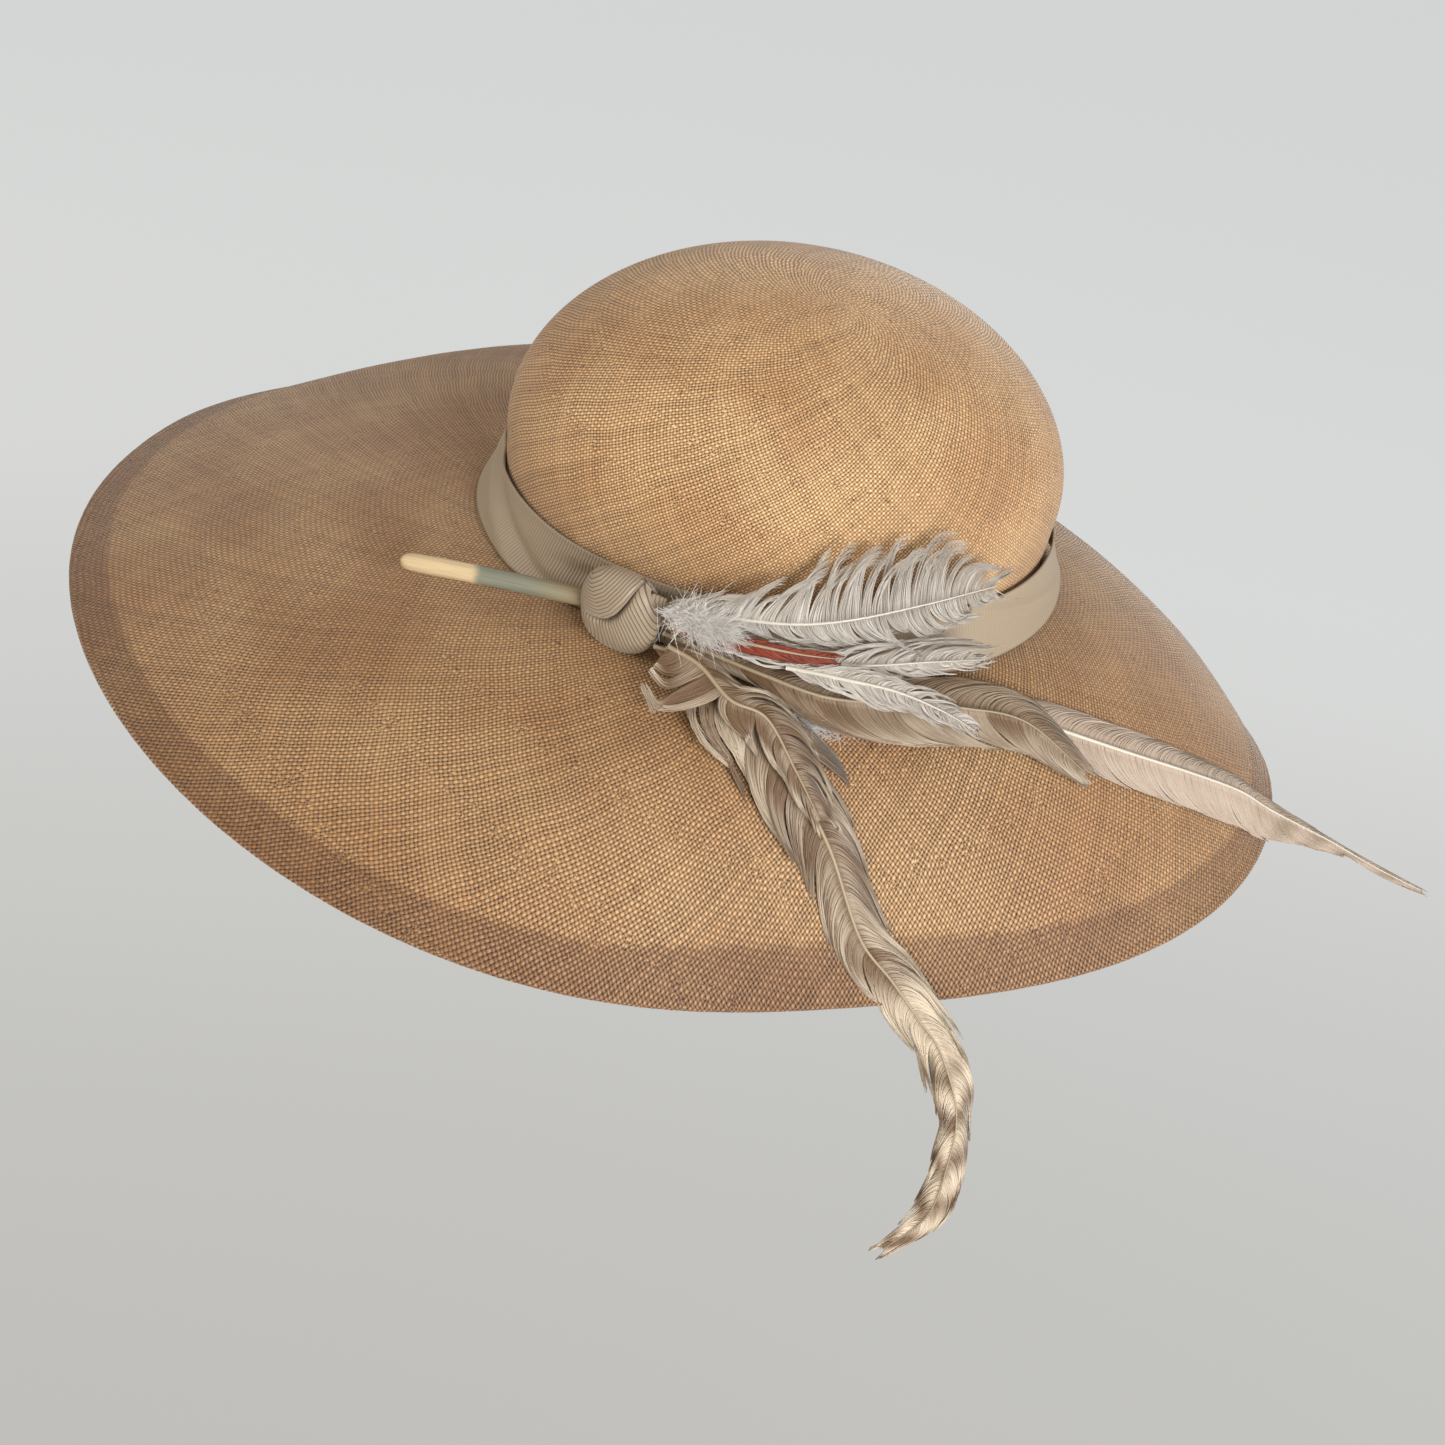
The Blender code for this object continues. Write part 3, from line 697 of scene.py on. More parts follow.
def buildBrim():
    angle = roundAngles(brim["around"])
    half = hat["clothWall"] / 2
    width = brimWidth(angle)
    points, cloth, hemmed = [], [], []

    def add(point, share, back):
        points.append(point)
        cloth.append(brimMarks(angle, share, back).reshape(len(angle), 3))
        # the hemmed mark says where the hem band's painted shade goes
        inside = brim["hemWidth"] * (1 + 0.05 * ripple(np.radians(angle) * 6, 44))
        hemmed.append(smooth(inside + 1.2 * mm, inside - 1 * mm, back) * np.ones(len(angle)))

    stand, tall, turnIn = brim["stand"], brim["collarHeight"], brim["collarRound"]
    start = (stand + turnIn) / width
    # up the outside of the collar is where the cloth's upper face begins
    for height in (tall, tall * 0.6, turnIn):
        add(place(angle, headRadius(angle, stand + half), height + half), start * 0, 1.0)
    add(place(angle, headRadius(angle, stand + half + turnIn * 0.3), turnIn * 0.3 + half), start * 0.5, 1.0)
    fold = brim["edgeRound"]
    for t in np.linspace(0, 1, brim["rows"]) ** 0.9:
        share = lerp(start, 1 - fold / width, t)
        back = (1 - share) * width
        edgeLift = smooth(4 * mm, 1 * mm, back)
        lift = half + (fold - half) * edgeLift
        uneven = (ripple(np.radians(angle) * 4 + 3 * t, 31) * 0.5
                  + ripple(np.radians(angle) * 13, 7) * 0.3) * t * (1 - t * 0.5)
        rise = lift + uneven * hat["unevenness"] * 1.6
        add(onBrim(angle, share) + brimNormal(angle, share) * rise[:, None], share, back)
    edge = onBrim(angle, 1 - fold / width)
    outward = unit(onBrim(angle, 1 - fold / width) - onBrim(angle, 1 - fold / width - 0.03))
    up = brimNormal(angle, 1 - fold / width)
    wobble = 1 + 0.05 * ripple(np.radians(angle) * 60, 3)
    for turn in (70, 50, 30, 10, -10, -30, -50, -70, -90):
        t = radians(turn)
        add(edge + (outward * np.cos(t) + up * np.sin(t)) * (fold * wobble)[:, None],
            1 - fold / width + np.cos(t) * fold / width, 0.0 * width)
    for t in np.linspace(0, 1, 60)[1:]:
        share = lerp(1 - fold / width, start, t)
        back = (1 - share) * width
        drop = half + (fold - half) * smooth(4 * mm, 1 * mm, back)
        uneven = (ripple(np.radians(angle) * 4 + 3 * (1 - t), 31) * 0.5) * (1 - t) * (1 - (1 - t) * 0.5)
        add(onBrim(angle, share)
            - brimNormal(angle, share) * (drop - uneven * hat["unevenness"] * 1.6)[:, None], share, 1.0)
    add(place(angle, headRadius(angle, stand - half + turnIn * 0.3), turnIn * 0.3 - half), start * 0.5, 1.0)
    for height in (turnIn, tall * 0.6, tall):
        add(place(angle, headRadius(angle, stand - half), height), start * 0, 1.0)
    grid = np.stack(points, 1)
    faces = gridFaces(grid.shape[0], grid.shape[1], closeRows=True, closeColumns=True)
    return newPiece("brimCloth", grid, faces, materials["brimStraw"], "hat", ["brim"],
                    {"cloth": np.stack(cloth, 1).reshape(-1, 3), "hemmed": np.stack(hemmed, 1).reshape(-1)})


def buildHem():
    # the edge turned under and felled to the brim's underside
    angle = roundAngles(brim["around"])
    width = brimWidth(angle)
    half = hat["clothWall"] / 2
    over, under = half + 0.12 * mm, half + 0.12 * mm + brim["hemWall"]
    ragged = brim["hemWidth"] * (1 + 0.02 * ripple(np.radians(angle) * 25, 12))
    points, cloth = [], []
    route = [(t, over) for t in np.linspace(0, 1, 14)] + [(1, (over + under) / 2)] + \
            [(t, under) for t in np.linspace(1, 0, 14)] + [(0, (over + under) / 2)]
    for t, depth in route:
        back = lerp(2.6 * mm, ragged, t)
        drop = depth + 0.45 * mm * smooth(5 * mm, 2.6 * mm, back)
        share = 1 - back / width
        points.append(onBrim(angle, share) - brimNormal(angle, share) * drop[:, None])
        cloth.append(brimMarks(angle, share, back).reshape(len(angle), 3) * [1, 1, -1])
    grid = np.stack(points, 1)
    faces = gridFaces(grid.shape[0], grid.shape[1], closeRows=True, closeColumns=True)
    return newPiece("brimHem", grid, [face[::-1] for face in faces], materials["crownStraw"], "hat",
                    ["brim_hem"], {"cloth": np.stack(cloth, 1).reshape(-1, 3)})


def buildHemStitches():
    spots = np.arange(0, 360, brim["hemStitch"] / 0.19 * 180 / np.pi)
    paths = []
    for spot in spots:
        steps = np.linspace(0, 1, 7)
        angle = spot + (steps - 0.5) * 0.9
        width = brimWidth(angle)
        back = brim["hemWidth"] + (steps * 2 - 1) * 0.8 * mm
        share = 1 - back / width
        drop = hat["clothWall"] / 2 + 0.05 * mm + np.sin(steps * np.pi) * (brim["hemWall"] + 0.35 * mm)
        paths.append(onBrim(angle, share) - brimNormal(angle, share) * drop[:, None])
    points, faces = tubes(paths, 0.16 * mm, 5)
    return newPiece("hemStitches", points, faces, materials["stitch"], "hat")


buildBrim()
buildHem()
buildHemStitches()
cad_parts["brim_wire"].data.materials.clear()
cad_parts["brim_wire"].data.materials.append(materials["wire"])
print("brim made")

headRibbon = {"width": 20.0 * mm, "wall": 0.8 * mm, "inside": 1.7 * mm, "foot": 1.0 * mm, "stitch": 6 * mm}


def buildHeadRibbon():
    angle = np.linspace(90.5, 449.5, 360)
    heights = np.linspace(0, 1, 10)
    points, ribs = [], []
    for side, run in ((1, heights), (-1, heights[::-1])):
        for t in run:
            gather = ripple(np.radians(angle) * 30, 5) * 0.12 * mm * t
            out = (-headRibbon["inside"] + side * headRibbon["wall"] / 2
                   - smooth(0.8, 1, t) * 0.1 * mm + gather)
            points.append(place(angle, headRadius(angle, out),
                                headRibbon["foot"] + t * headRibbon["width"]))
            ribs.append(np.radians(angle) * 0.09)
    grid = np.stack(points, 1)
    count = grid.shape[1]
    faces = gridFaces(grid.shape[0], count, closeColumns=True)
    faces += endCaps(len(angle), count)
    piece = newPiece("headRibbon", grid, [face[::-1] for face in faces], materials["headRibbon"], "hat",
                     ["sweatband"],
                     {"ribs": np.stack(ribs, 1).reshape(-1), "ribShow": np.ones(grid.size // 3)})
    spots = np.arange(95, 445, headRibbon["stitch"] / 0.09 * 180 / np.pi)
    paths = []
    for i, spot in enumerate(spots):
        steps = np.linspace(0, 1, 6)
        out = -headRibbon["inside"] - headRibbon["wall"] / 2 - np.sin(steps * np.pi) * 0.2 * mm
        rise = headRibbon["foot"] + (1.0 + (steps - 0.5) * (1.2 if i % 2 else -1.2)) * mm
        paths.append(place(spot + (steps - 0.5) * 3.2, headRadius(spot + (steps - 0.5) * 3.2, out), rise))
    points, faces = tubes(paths, 0.18 * mm, 5)
    newPiece("headRibbonStitches", points, faces, materials["stitch"], "hat")
    return piece


headBand = buildHeadRibbon()
print("head ribbon made")

ribbon = {
    "height": 20.0 * mm,
    "wall": 0.7 * mm,
    "flare": 10.0 * mm,
    "pinch": 0.62,
    "pinchSpread": 13,
    "hug": 2.0 * mm,
    "foot": 1.7 * mm,
    "foldDepth": 1.7 * mm,
    "gatherDepth": 0.55 * mm,
}
knot = {"angle": -27, "length": 27.0 * mm, "height": 28.5 * mm, "depth": 14.0 * mm, "lift": 14.0 * mm,
        "creaseTilt": 38, "ribPitch": 1.15 * mm, "groove": 2.6 * mm, "shift": (3.2 * mm, 0, -1.2 * mm)}


def ribbonStand(angle):
    turn = away(angle, knot["angle"]) / ribbon["pinchSpread"]
    return ribbon["flare"] * (1 - ribbon["pinch"] * np.exp(-turn ** 2))


def buildRibbon():
    angle = np.linspace(knot["angle"] + 0.1, knot["angle"] + 359.9, 900)
    turn = away(angle, knot["angle"])
    stand = np.maximum(ribbonStand(angle), ribbon["hug"] + 1 * mm)
    along = np.radians(angle - angle[0]) * 0.0955
    points, ribs, show = [], [], []
    downs = np.linspace(0, 1, 30)
    for side, run in ((1, downs), (-1, downs[::-1])):
        for down in run:
            out = ribbon["hug"] + (stand - ribbon["hug"]) * down ** 1.3
            # a long smooth fold runs across the band left of the knot, and a lesser one right of it
            centre = lerp(0.12, 0.9, np.clip((away(angle, -78)) / 32, -0.6, 1.4))
            amount = smooth(-96, -78, away(angle, 0)) * (1 - smooth(-46, -38, away(angle, 0)))
            valley = np.exp(-((down - centre) / 0.16) ** 2) - 0.45 * np.exp(-((down - centre
                                                                               - 0.3) / 0.16) ** 2)
            out = out - valley * amount * ribbon["foldDepth"]
            centre = lerp(0.15, 0.75, np.clip((away(angle, 50)) / 32, -0.6, 1.5))
            amount = smooth(40, 55, away(angle, 0)) * (1 - smooth(78, 96, away(angle, 0)))
            out = out + np.exp(-((down - centre) / 0.1) ** 2) * amount * 0.9 * mm * smooth(0, 0.25, down)
            # small gathers close to the knot
            near = np.exp(-(turn / 17) ** 2)
            out = out + near * ribbon["gatherDepth"] * np.sin(down * 15 + turn
                                                              * 0.12) * smooth(0, 0.2, down)
            out = out + ripple(np.radians(angle) * 3 + down * 2, 21) * 0.35 * mm * down
            height = ribbon["height"] + (ribbon["foot"] - ribbon["height"]) * down
            height = height + ripple(np.radians(angle) * 2, 22) * 0.5 * mm * (1 - down)
            points.append(place(angle, headRadius(angle, out + side * ribbon["wall"] / 2), height))
            ribs.append(along + 1.2 * mm * np.sin(down * 2.2 + np.radians(angle))
                        + ripple(np.radians(angle) * 9, 5) * 0.3 * mm)
            # painted light: on the band's right, where the key light falls, the painted groove shade and
            # the rib bump are weaker, so that side reads paler
            pale = smooth(5, 40, away(angle, 0)) * (1 - smooth(100, 140, away(angle, 0)))
            show.append(np.clip(0.42 + 0.58 * np.exp(-((turn + 8) / 16) ** 2) - 0.22 * pale, 0, 1))
    grid = np.stack(points, 1)
    count = grid.shape[1]
    faces = gridFaces(grid.shape[0], count, closeColumns=True)
    faces += endCaps(len(angle), count)
    return newPiece("ribbonBand", grid, [face[::-1] for face in faces], materials["ribbon"], "hat",
                    ["ribbon_band"],
                    {"ribs": np.stack(ribs, 1).reshape(-1), "ribShow": np.stack(show, 1).reshape(-1)})


def knotPlace(local):
    # Points given along the ribbon, outwards and up from the knot's middle, as points of the scene.
    inner = ribbonStand(knot["angle"]) + 0.8 * mm + 0.3 * mm
    middle = place(knot["angle"], headRadius(knot["angle"], inner + knot["depth"] / 2), knot["lift"])
    ahead = place(knot["angle"] + 1, headRadius(knot["angle"] + 1), 0)
    behind = place(knot["angle"] - 1, headRadius(knot["angle"] - 1), 0)
    along = unit(ahead - behind)
    up = np.array([0, 0, 1.0])
    outward = np.cross(along, up)
    local = local + np.array(knot["shift"])
    spot = middle + local[..., :1] * along + local[..., 1:2] * outward + local[..., 2:] * up
    return spot, along, outward, middle


def knotOutline(s, sign):
    # How far the knot reaches across its crease, at s along the crease.
    tilt = radians(knot["creaseTilt"])
    reach = np.linspace(0, 22 * mm, 600)
    x = s[:, None] * np.cos(tilt) - sign * reach * np.sin(tilt)
    z = s[:, None] * np.sin(tilt) + sign * reach * np.cos(tilt)
    inside = (np.abs(x) / (knot["length"] / 2)) ** 2.5 + (np.abs(z) / (knot["height"] / 2)) ** 2.5 < 1
    return reach[np.maximum(inside.sum(1) - 1, 0)]


def buildLobe(name, sign, replaced):
    tilt = radians(knot["creaseTilt"])
    s = np.sin(np.linspace(-np.pi / 2, np.pi / 2, 72)) * 14.6 * mm
    reach = knotOutline(s, sign)
    creaseLine = np.interp(s / mm, [-13.3, -9, -5.6, -1, 3, 8, 11.5, 14],
                           [7.6, 5.0, 2.4, 0.4, 0.8, 3.0, 5.0, 6.0]) * mm
    inner = creaseLine + sign * 0.12 * mm
    outer = sign * reach
    outer = np.where(sign * (outer - inner) < 1.2 * mm, inner + sign * 1.2 * mm, outer)
    width = outer - inner
    points, ribs = [], []

    def spot(t, side):
        across = inner + width * t
        x = s * np.cos(tilt) - across * np.sin(tilt)
        z = s * np.sin(tilt) + across * np.cos(tilt)
        r = ((np.abs(x) / (knot["length"] / 2)) ** 2.5 + (np.abs(z) / (knot["height"] / 2)) ** 2.5) ** 0.4
        y = np.maximum(1 - np.minimum(r, 1) ** 2.3, 0) ** 0.45 * side
        near = np.abs(across - creaseLine)
        if side > 0:
            y = y - knot["groove"] * np.exp(-(near / (0.9 * mm)) ** 1.4) * np.maximum(1 - r ** 5, 0)
            if sign > 0:
                y = y + 1.1 * mm * np.exp(-(near / (5 * mm)) ** 2) * np.maximum(1 - r ** 4, 0)
            else:
                y = y - 0.5 * mm * np.exp(-((s + 3 * mm + near
                                             * 0.8) / (1.4 * mm)) ** 2) * np.maximum(1 - r ** 3, 0)
        return np.stack([x, y, z], -1), near

    for t in np.linspace(0, 1, 60) ** 1.35:
        point, near = spot(t, 7.8 * mm)
        points.append(point)
        if sign > 0:
            ribs.append(near * 1.05 + 0.1 * s)
        else:
            ribs.append(s * (1.05 - 0.3 * t) + 2.6 * mm * t ** 2 + 2.2 * mm * t)
    for t in np.linspace(1, 0, 12)[1:]:
        points.append(spot(t, -6.0 * mm)[0])
        ribs.append(ribs[-1])
    local = np.stack(points, 1)
    grid = knotPlace(local)[0]
    count = grid.shape[1]
    faces = gridFaces(grid.shape[0], count, closeColumns=True)
    faces += endCaps(len(s), count)
    if sign < 0:
        faces = [face[::-1] for face in faces]
    return newPiece(name, grid, faces, materials["knot"], "hat", [replaced],
                    {"ribs": np.stack(ribs, 1).reshape(-1), "ribShow": np.ones(grid.size // 3)})


def buildKnotEnd():
    # the ribbon's cut end, peeping out above the knot
    u, v = np.meshgrid(np.linspace(0, 1, 16), np.linspace(0, 1, 16), indexing="ij")
    x = lerp(7.2, 14.6, u) + 0.5 * v
    z = 11.2 - 1.2 * u - v * (1.2 + 4.0 * u)
    y = 1.2 - 1.6 * u + 1.0 * np.sin(v * 3.1) * (1 - 0.4 * u)
    top = np.stack([x, y + 0.35, z], -1) * mm
    low = np.stack([x, y - 0.35, z], -1) * mm
    grid = knotPlace(np.concatenate([top, low[:, ::-1]], 1))[0]
    count = grid.shape[1]
    faces = gridFaces(grid.shape[0], count, closeColumns=True)
    faces += endCaps(grid.shape[0], count)
    ribs = np.repeat(np.linspace(0, 7 * mm, 16)[:, None], 32, 1)
    return newPiece("knotEnd", grid, faces, materials["knot"], "hat", ["knot_end"],
                    {"ribs": ribs.reshape(-1), "ribShow": np.ones(ribs.size) * 0.8})


materials["knot"] = ribbonMaterial("grosgrain of the knot", grosgrain["colour"], grosgrain["groove"],
                                   knot["ribPitch"], grosgrain["ribDepth"])
ribbonPiece = buildRibbon()
buildLobe("knotUpper", 1, "knot_upper")
buildLobe("knotLower", -1, "knot_lower")
buildKnotEnd()

quillShape = {"length": 57.0 * mm, "radius": 3.0 * mm, "drop": 1.6 * mm, "yaw": 19, "pitch": 0.8}


def buildQuill():
    face, along, outward, middle = knotPlace(np.array([-knot["length"] / 2, 0, -quillShape["drop"]]))
    yaw = radians(quillShape["yaw"])
    direction = np.array([along[0] * np.cos(yaw) - along[1] * np.sin(yaw),
                          along[0] * np.sin(yaw) + along[1] * np.cos(yaw), 0])
    direction[2] = np.sin(radians(-quillShape["pitch"]))
    direction = unit(direction)
    share = np.concatenate([np.linspace(-0.03, 0.9, 60),
                            0.9 + 0.1 * np.sin(np.linspace(0, np.pi / 2, 14))[1:]])
    turn = np.linspace(0, 2 * np.pi, 36, endpoint=False)
    size = np.interp(share, [-0.03, 0.02, 0.5, 0.8, 0.9, 0.94, 0.97, 0.99, 1],
                     [0.86, 0.95, 1, 1, 0.97, 0.93, 0.84, 0.62, 0.3])
    side = unit(np.cross(direction, [0, 0, 1.0]))
    rise = np.cross(side, direction)
    grooves = (1 + 0.012 * ripple(turn * 3, 9)[None]
               + 0.03 * smooth(0.9, 1, share)[:, None] * ripple(turn * 2, 3)[None])
    bow = np.sin(np.clip(share, 0, 1) * np.pi) * 0.5 * mm
    base = face - direction * (1.2 * mm + quillShape["length"] * share[:, None]) + rise * bow[:, None]
    ring = side * np.cos(turn)[:, None] + rise * np.sin(turn)[:, None]
    grid = base[:, None] + ring[None] * (size[:, None] * grooves * quillShape["radius"])[..., None]
    ragged = ripple(turn * 3, 14) * 0.5 * mm * smooth(0.95, 1, share)[:, None]
    grid = grid - direction * ragged[..., None]
    count = len(turn)
    faces = gridFaces(len(share), count, closeColumns=True)
    faces += endCaps(len(share), count)
    marks = {"along": np.repeat(share, count), "around": np.tile(np.abs(turn - np.pi) / np.pi, len(share))}
    return newPiece("quillHorn", grid, faces, materials["quill"], "hat", ["quill"], marks)


buildQuill()
print("ribbon, knot and quill made")

# how close the barbs stand, half their width, and how thick, tapered, rough and wavy each one is
sleek = {"pitch": 0.34 * mm, "half": 0.4 * mm, "ridge": 0.12, "taper": 3.0, "rough": 0.04 * mm,
         "wave": 0.3 * mm}
fluffy = {"pitch": 0.11 * mm, "half": 0.12 * mm, "ridge": 0.6, "taper": 1.3, "rough": 0.5 * mm,
          "wave": 0.9 * mm}

# a station is (angle, share of the brim's width, mm further out, mm above it, half width left and right);
# a stray is (side, from, to, reach, lean), for locks that stand out past the rest
feathers = {
    "hanging": {
        "body": "hanging_feather", "slot": "tan_feather", "material": "tan", "cad": "hanging_feather",
        "lean": 0.0,
        "stations": [
            (-17, 0, 16, 9, 2, 3), (-13, 0, 17, 10, 3, 6), (-7, 0, 20, 10, 5, 14),
            (-1, 0.1, 18, 10, 8, 17), (5, 0.33, 3, 8, 10, 15), (11, 0.53, 0, 6, 11, 12),
            (15, 0.66, 0, 5, 10, 10), (19, 0.86, 0, 5, 9, 10), (23, 0.96, 0, 5, 9, 9),
            (26, 1, 5, -1, 8, 8), (28, 1, 12, -10, 7, 7), (29, 1, 24, -26, 6, 6), (28, 1, 33, -40, 6, 5),
            (26, 1, 42, -58, 5, 5), (22, 1, 46, -69, 2, 2),
        ],
        "twist": [(0, 0), (0.55, 0), (0.68, 28), (0.78, -22), (0.88, 30), (1, -10)], "sweep": 31 * mm,
        "lock": (4 * mm, 11 * mm), "converge": 0.5, "split": 0.35, "loose": 0.9 * mm, "curl": 0.4,
        "uneven": 0.16, **sleek, "bars": 0.16,
        "strays": [(1, 0.13, 0.19, 2.1, 1.3), (-1, 0.3, 0.34, 1.25, 1.2)], "shaft": "shaft",
    },
    "cover": {
        "body": "hanging_feather", "slot": "tan_feather", "material": "tan", "cad": "cover_feather",
        "lean": 0.0,
        "stations": [
            (-14, 0, 18, 13, 2, 3), (-8, 0, 21, 13.5, 4, 10), (-2, 0.1, 19, 13.5, 6, 12),
            (4, 0.3, 4, 12, 8, 8), (9, 0.45, 2, 10, 8, 4), (13, 0.6, 0, 9, 3, 2),
        ],
        "sweep": 18 * mm, "lock": (2.5 * mm, 6.5 * mm), "converge": 0.75, "split": 0.8, "loose": 1.0 * mm,
        "curl": 1.0, "uneven": 0.22, **sleek, "bars": 0.14, "strays": [(-1, 0.03, 0.3, 1.9, -0.4)],
        "shaft": "shaft",
    },
    "tan": {
        "body": "side_feather", "slot": "tan_feather", "material": "tan", "cad": "tan_feather",
        "lean": 0.0,
        "stations": [
            (-17, 0, 10, 9, 2, 3), (-7, 0, 12, 9, 5, 3), (3, 0, 15, 9, 7, 4), (14, 0.1, 11, 9, 8, 11),
            (26, 0.19, 6, 9, 10, 13), (38, 0.26, 3, 8, 10, 11), (47, 0.37, 0, 7, 8, 9),
            (52, 0.55, 0, 6, 1.5, 1.5),
        ],
        "sweep": 24 * mm, "lock": (6 * mm, 18 * mm), "converge": 0.4, "split": 0.35, "loose": 0.3 * mm,
        "curl": 0.1, "uneven": 0.07, **sleek, "bars": 0.12, "strays": [(1, 0.3, 0.36, 1.25, 1.3)],
        "shaft": "shaft",
    },
    "pale": {
        "body": "side_feather", "slot": "pale_feather", "material": "pale", "cad": "pale_feather",
        "lean": 0.0,
        "stations": [
            (30, 0.12, 5, 4, 3, 3), (38, 0.19, 2, 4, 6, 6), (49, 0.35, 0, 4, 9, 8),
            (60, 0.54, 0, 4, 9, 11), (67, 0.69, 0, 4, 8, 12), (73, 0.85, 0, 4, 6, 13),
            (76, 0.98, 0, 5, 4, 11), (77, 1, 22, -1, 1.8, 1.8), (77.5, 1, 42, -8, 1.9, 2.4),
            (78, 1, 62, -14, 0.8, 0.8),
        ],
        "sweep": 19 * mm, "lock": (8 * mm, 22 * mm), "converge": 0.3, "split": 0.2, "loose": 0.2 * mm,
        "curl": 0.0, "uneven": 0.04, **sleek, "bars": 0.04, "shaft": "paleShaft",
    },
    "white": {
        "body": "white_feather", "slot": "white_feather", "material": "white", "cad": "white_feather",
        "lean": 0.75,
        "stations": [
            (-18, 0, 11, 19, 2, 2), (-8, 0, 11, 22, 8, 5), (6, 0, 11, 25, 14, 8), (17, 0, 11, 29, 21, 12),
            (30, 0, 11, 34, 18, 13), (40, 0, 11, 36, 9, 8), (44, 0, 11, 36, 3, 3),
        ],
        "sweep": 14 * mm, "lock": (1.5 * mm, 5.0 * mm), "converge": 0.85, "split": 0.8, "loose": 2.2 * mm,
        "curl": 0.5, "uneven": 0.3, **fluffy, "bars": 0.1, "shaft": "paleShaft",
    },
    "spray": {
        "body": "white_feather", "slot": "white_feather", "material": "white", "cad": "white_spray",
        "lean": 0.35,
        "stations": [
            (-9, 0, 18, 20.5, 1.5, 1.5), (1, 0, 18, 20.5, 3, 3), (17, 0, 18, 21, 5, 3),
            (31, 0, 19, 22, 4, 3), (40, 0.05, 18, 23, 1, 1),
        ],
        "sweep": 20 * mm, "lock": (1.5 * mm, 4.0 * mm), "converge": 0.8, "split": 0.8, "loose": 1.5 * mm,
        "curl": 0.3, "uneven": 0.25, **fluffy, "bars": 0.12, "strays": [(1, 0.4, 0.9, 1.5, 1.1)],
        "shaft": "paleShaft",
    },
    "wisp": {
        "body": "white_feather", "slot": "white_feather", "material": "white", "cad": "white_wisp",
        "lean": 0.0,
        "stations": [
            (6, 0, 20, 20, 1.5, 1.5), (14, 0.02, 22, 24, 4, 4.5), (23, 0.1, 20, 26, 4, 5),
            (30, 0.2, 18, 26, 3, 3), (34, 0.27, 17, 25, 1, 1),
        ],
        "sweep": 12 * mm, "lock": (1.5 * mm, 3.0 * mm), "converge": 0.7, "split": 0.7, "loose": 0.9 * mm,
        "curl": 0.2, "uneven": 0.25, **fluffy, "bars": 0.1, "shaft": "paleShaft",
    },
    "red": {
        "body": "white_feather", "slot": "red_feather", "material": "red", "cad": "red_feather",
        "lean": 0.35,
        "stations": [
            (-15, 0, 15, 17, 1.2, 1.2), (-8, 0, 17, 21, 1.2, 2), (0, 0, 18, 23, 1.6, 2.4),
            (8, 0, 18, 23, 1.2, 2), (14, 0, 18, 23, 1, 1),
        ],
        "sweep": 10 * mm, "lock": (4 * mm, 9 * mm), "converge": 0.5, "split": 0.4, "loose": 0.3 * mm,
        "curl": 0.0, "uneven": 0.1, **sleek, "bars": 0.08, "shaft": "shaft",
    },
}


def bandTone(key, length, lateral, side):
    # 0 is the dark colour and 1 the light one; length runs base to tip and lateral shaft to edge.
    if key == "hanging":
        bands = 0.5 + 0.5 * np.cos((length - 0.68) * 92 + lateral * 2.2 + side * 0.7)
        pale = lerp(0.1 + 0.36 * lateral, 0.9, smooth(0.52, 0.62, length))
        return np.clip(lerp(pale, 0.08 + 0.85 * bands, smooth(0.67, 0.73, length)), 0, 1)
    if key == "cover":
        return np.clip(0.12 + 0.7 * smooth(0.45, 1.0, lateral) - 0.1 * (1 - length), 0, 1)
    if key == "tan":
        return np.clip(0.05 + 0.26 * lateral + 0.2 * length, 0, 1)
    if key == "pale":
        bars = 0.5 + 0.5 * np.sin(length * 95 + lateral * 3)
        return np.clip(0.85 - 0.5 * bars * smooth(0.6, 0.78, length) - 0.15 * (1 - lateral) * (1 - length),
                       0, 1)
    if key == "red":
        return np.clip(0.4 + 0.4 * lateral, 0, 1)
    return np.clip(0.95 - 0.35 * length + 0.1 * lateral, 0, 1)


def featherLine(shape, count=180):
    rows = []
    for angle, share, extra, lift, left, right in shape["stations"]:
        point = onBrim(angle, share, extra * mm, lift * mm)
        trueShare = share + extra * mm / brimWidth(angle)
        rows.append((*point, angle, trueShare, left * mm, right * mm))
    lines = through(rows, count)
    point = lines[:, :3]
    tangent = unit(np.gradient(point, axis=0))
    face = unit(brimNormal(lines[:, 3], lines[:, 4]) * (1 - shape["lean"])
                + place(lines[:, 3], shape["lean"], 0))
    left = unit(np.cross(face, tangent))
    normal = np.cross(tangent, left)
    length = np.concatenate([[0], np.cumsum(np.linalg.norm(np.diff(point, axis=0), axis=1))])
    twist = np.radians(np.interp(length / length[-1], *zip(*shape.get("twist", [(0, 0), (1, 0)]))))[:, None]
    left, normal = (left * np.cos(twist) + normal * np.sin(twist),
                    normal * np.cos(twist) - left * np.sin(twist))
    return {"point": point, "left": left, "normal": normal, "tangent": tangent, "length": length,
            "width": lines[:, 5:7]}


def readLine(line, key, run):
    values = line[key]
    if values.ndim == 1:
        return np.interp(run, line["length"], values)
    return np.stack([np.interp(run, line["length"], values[:, i]) for i in range(values.shape[1])], -1)


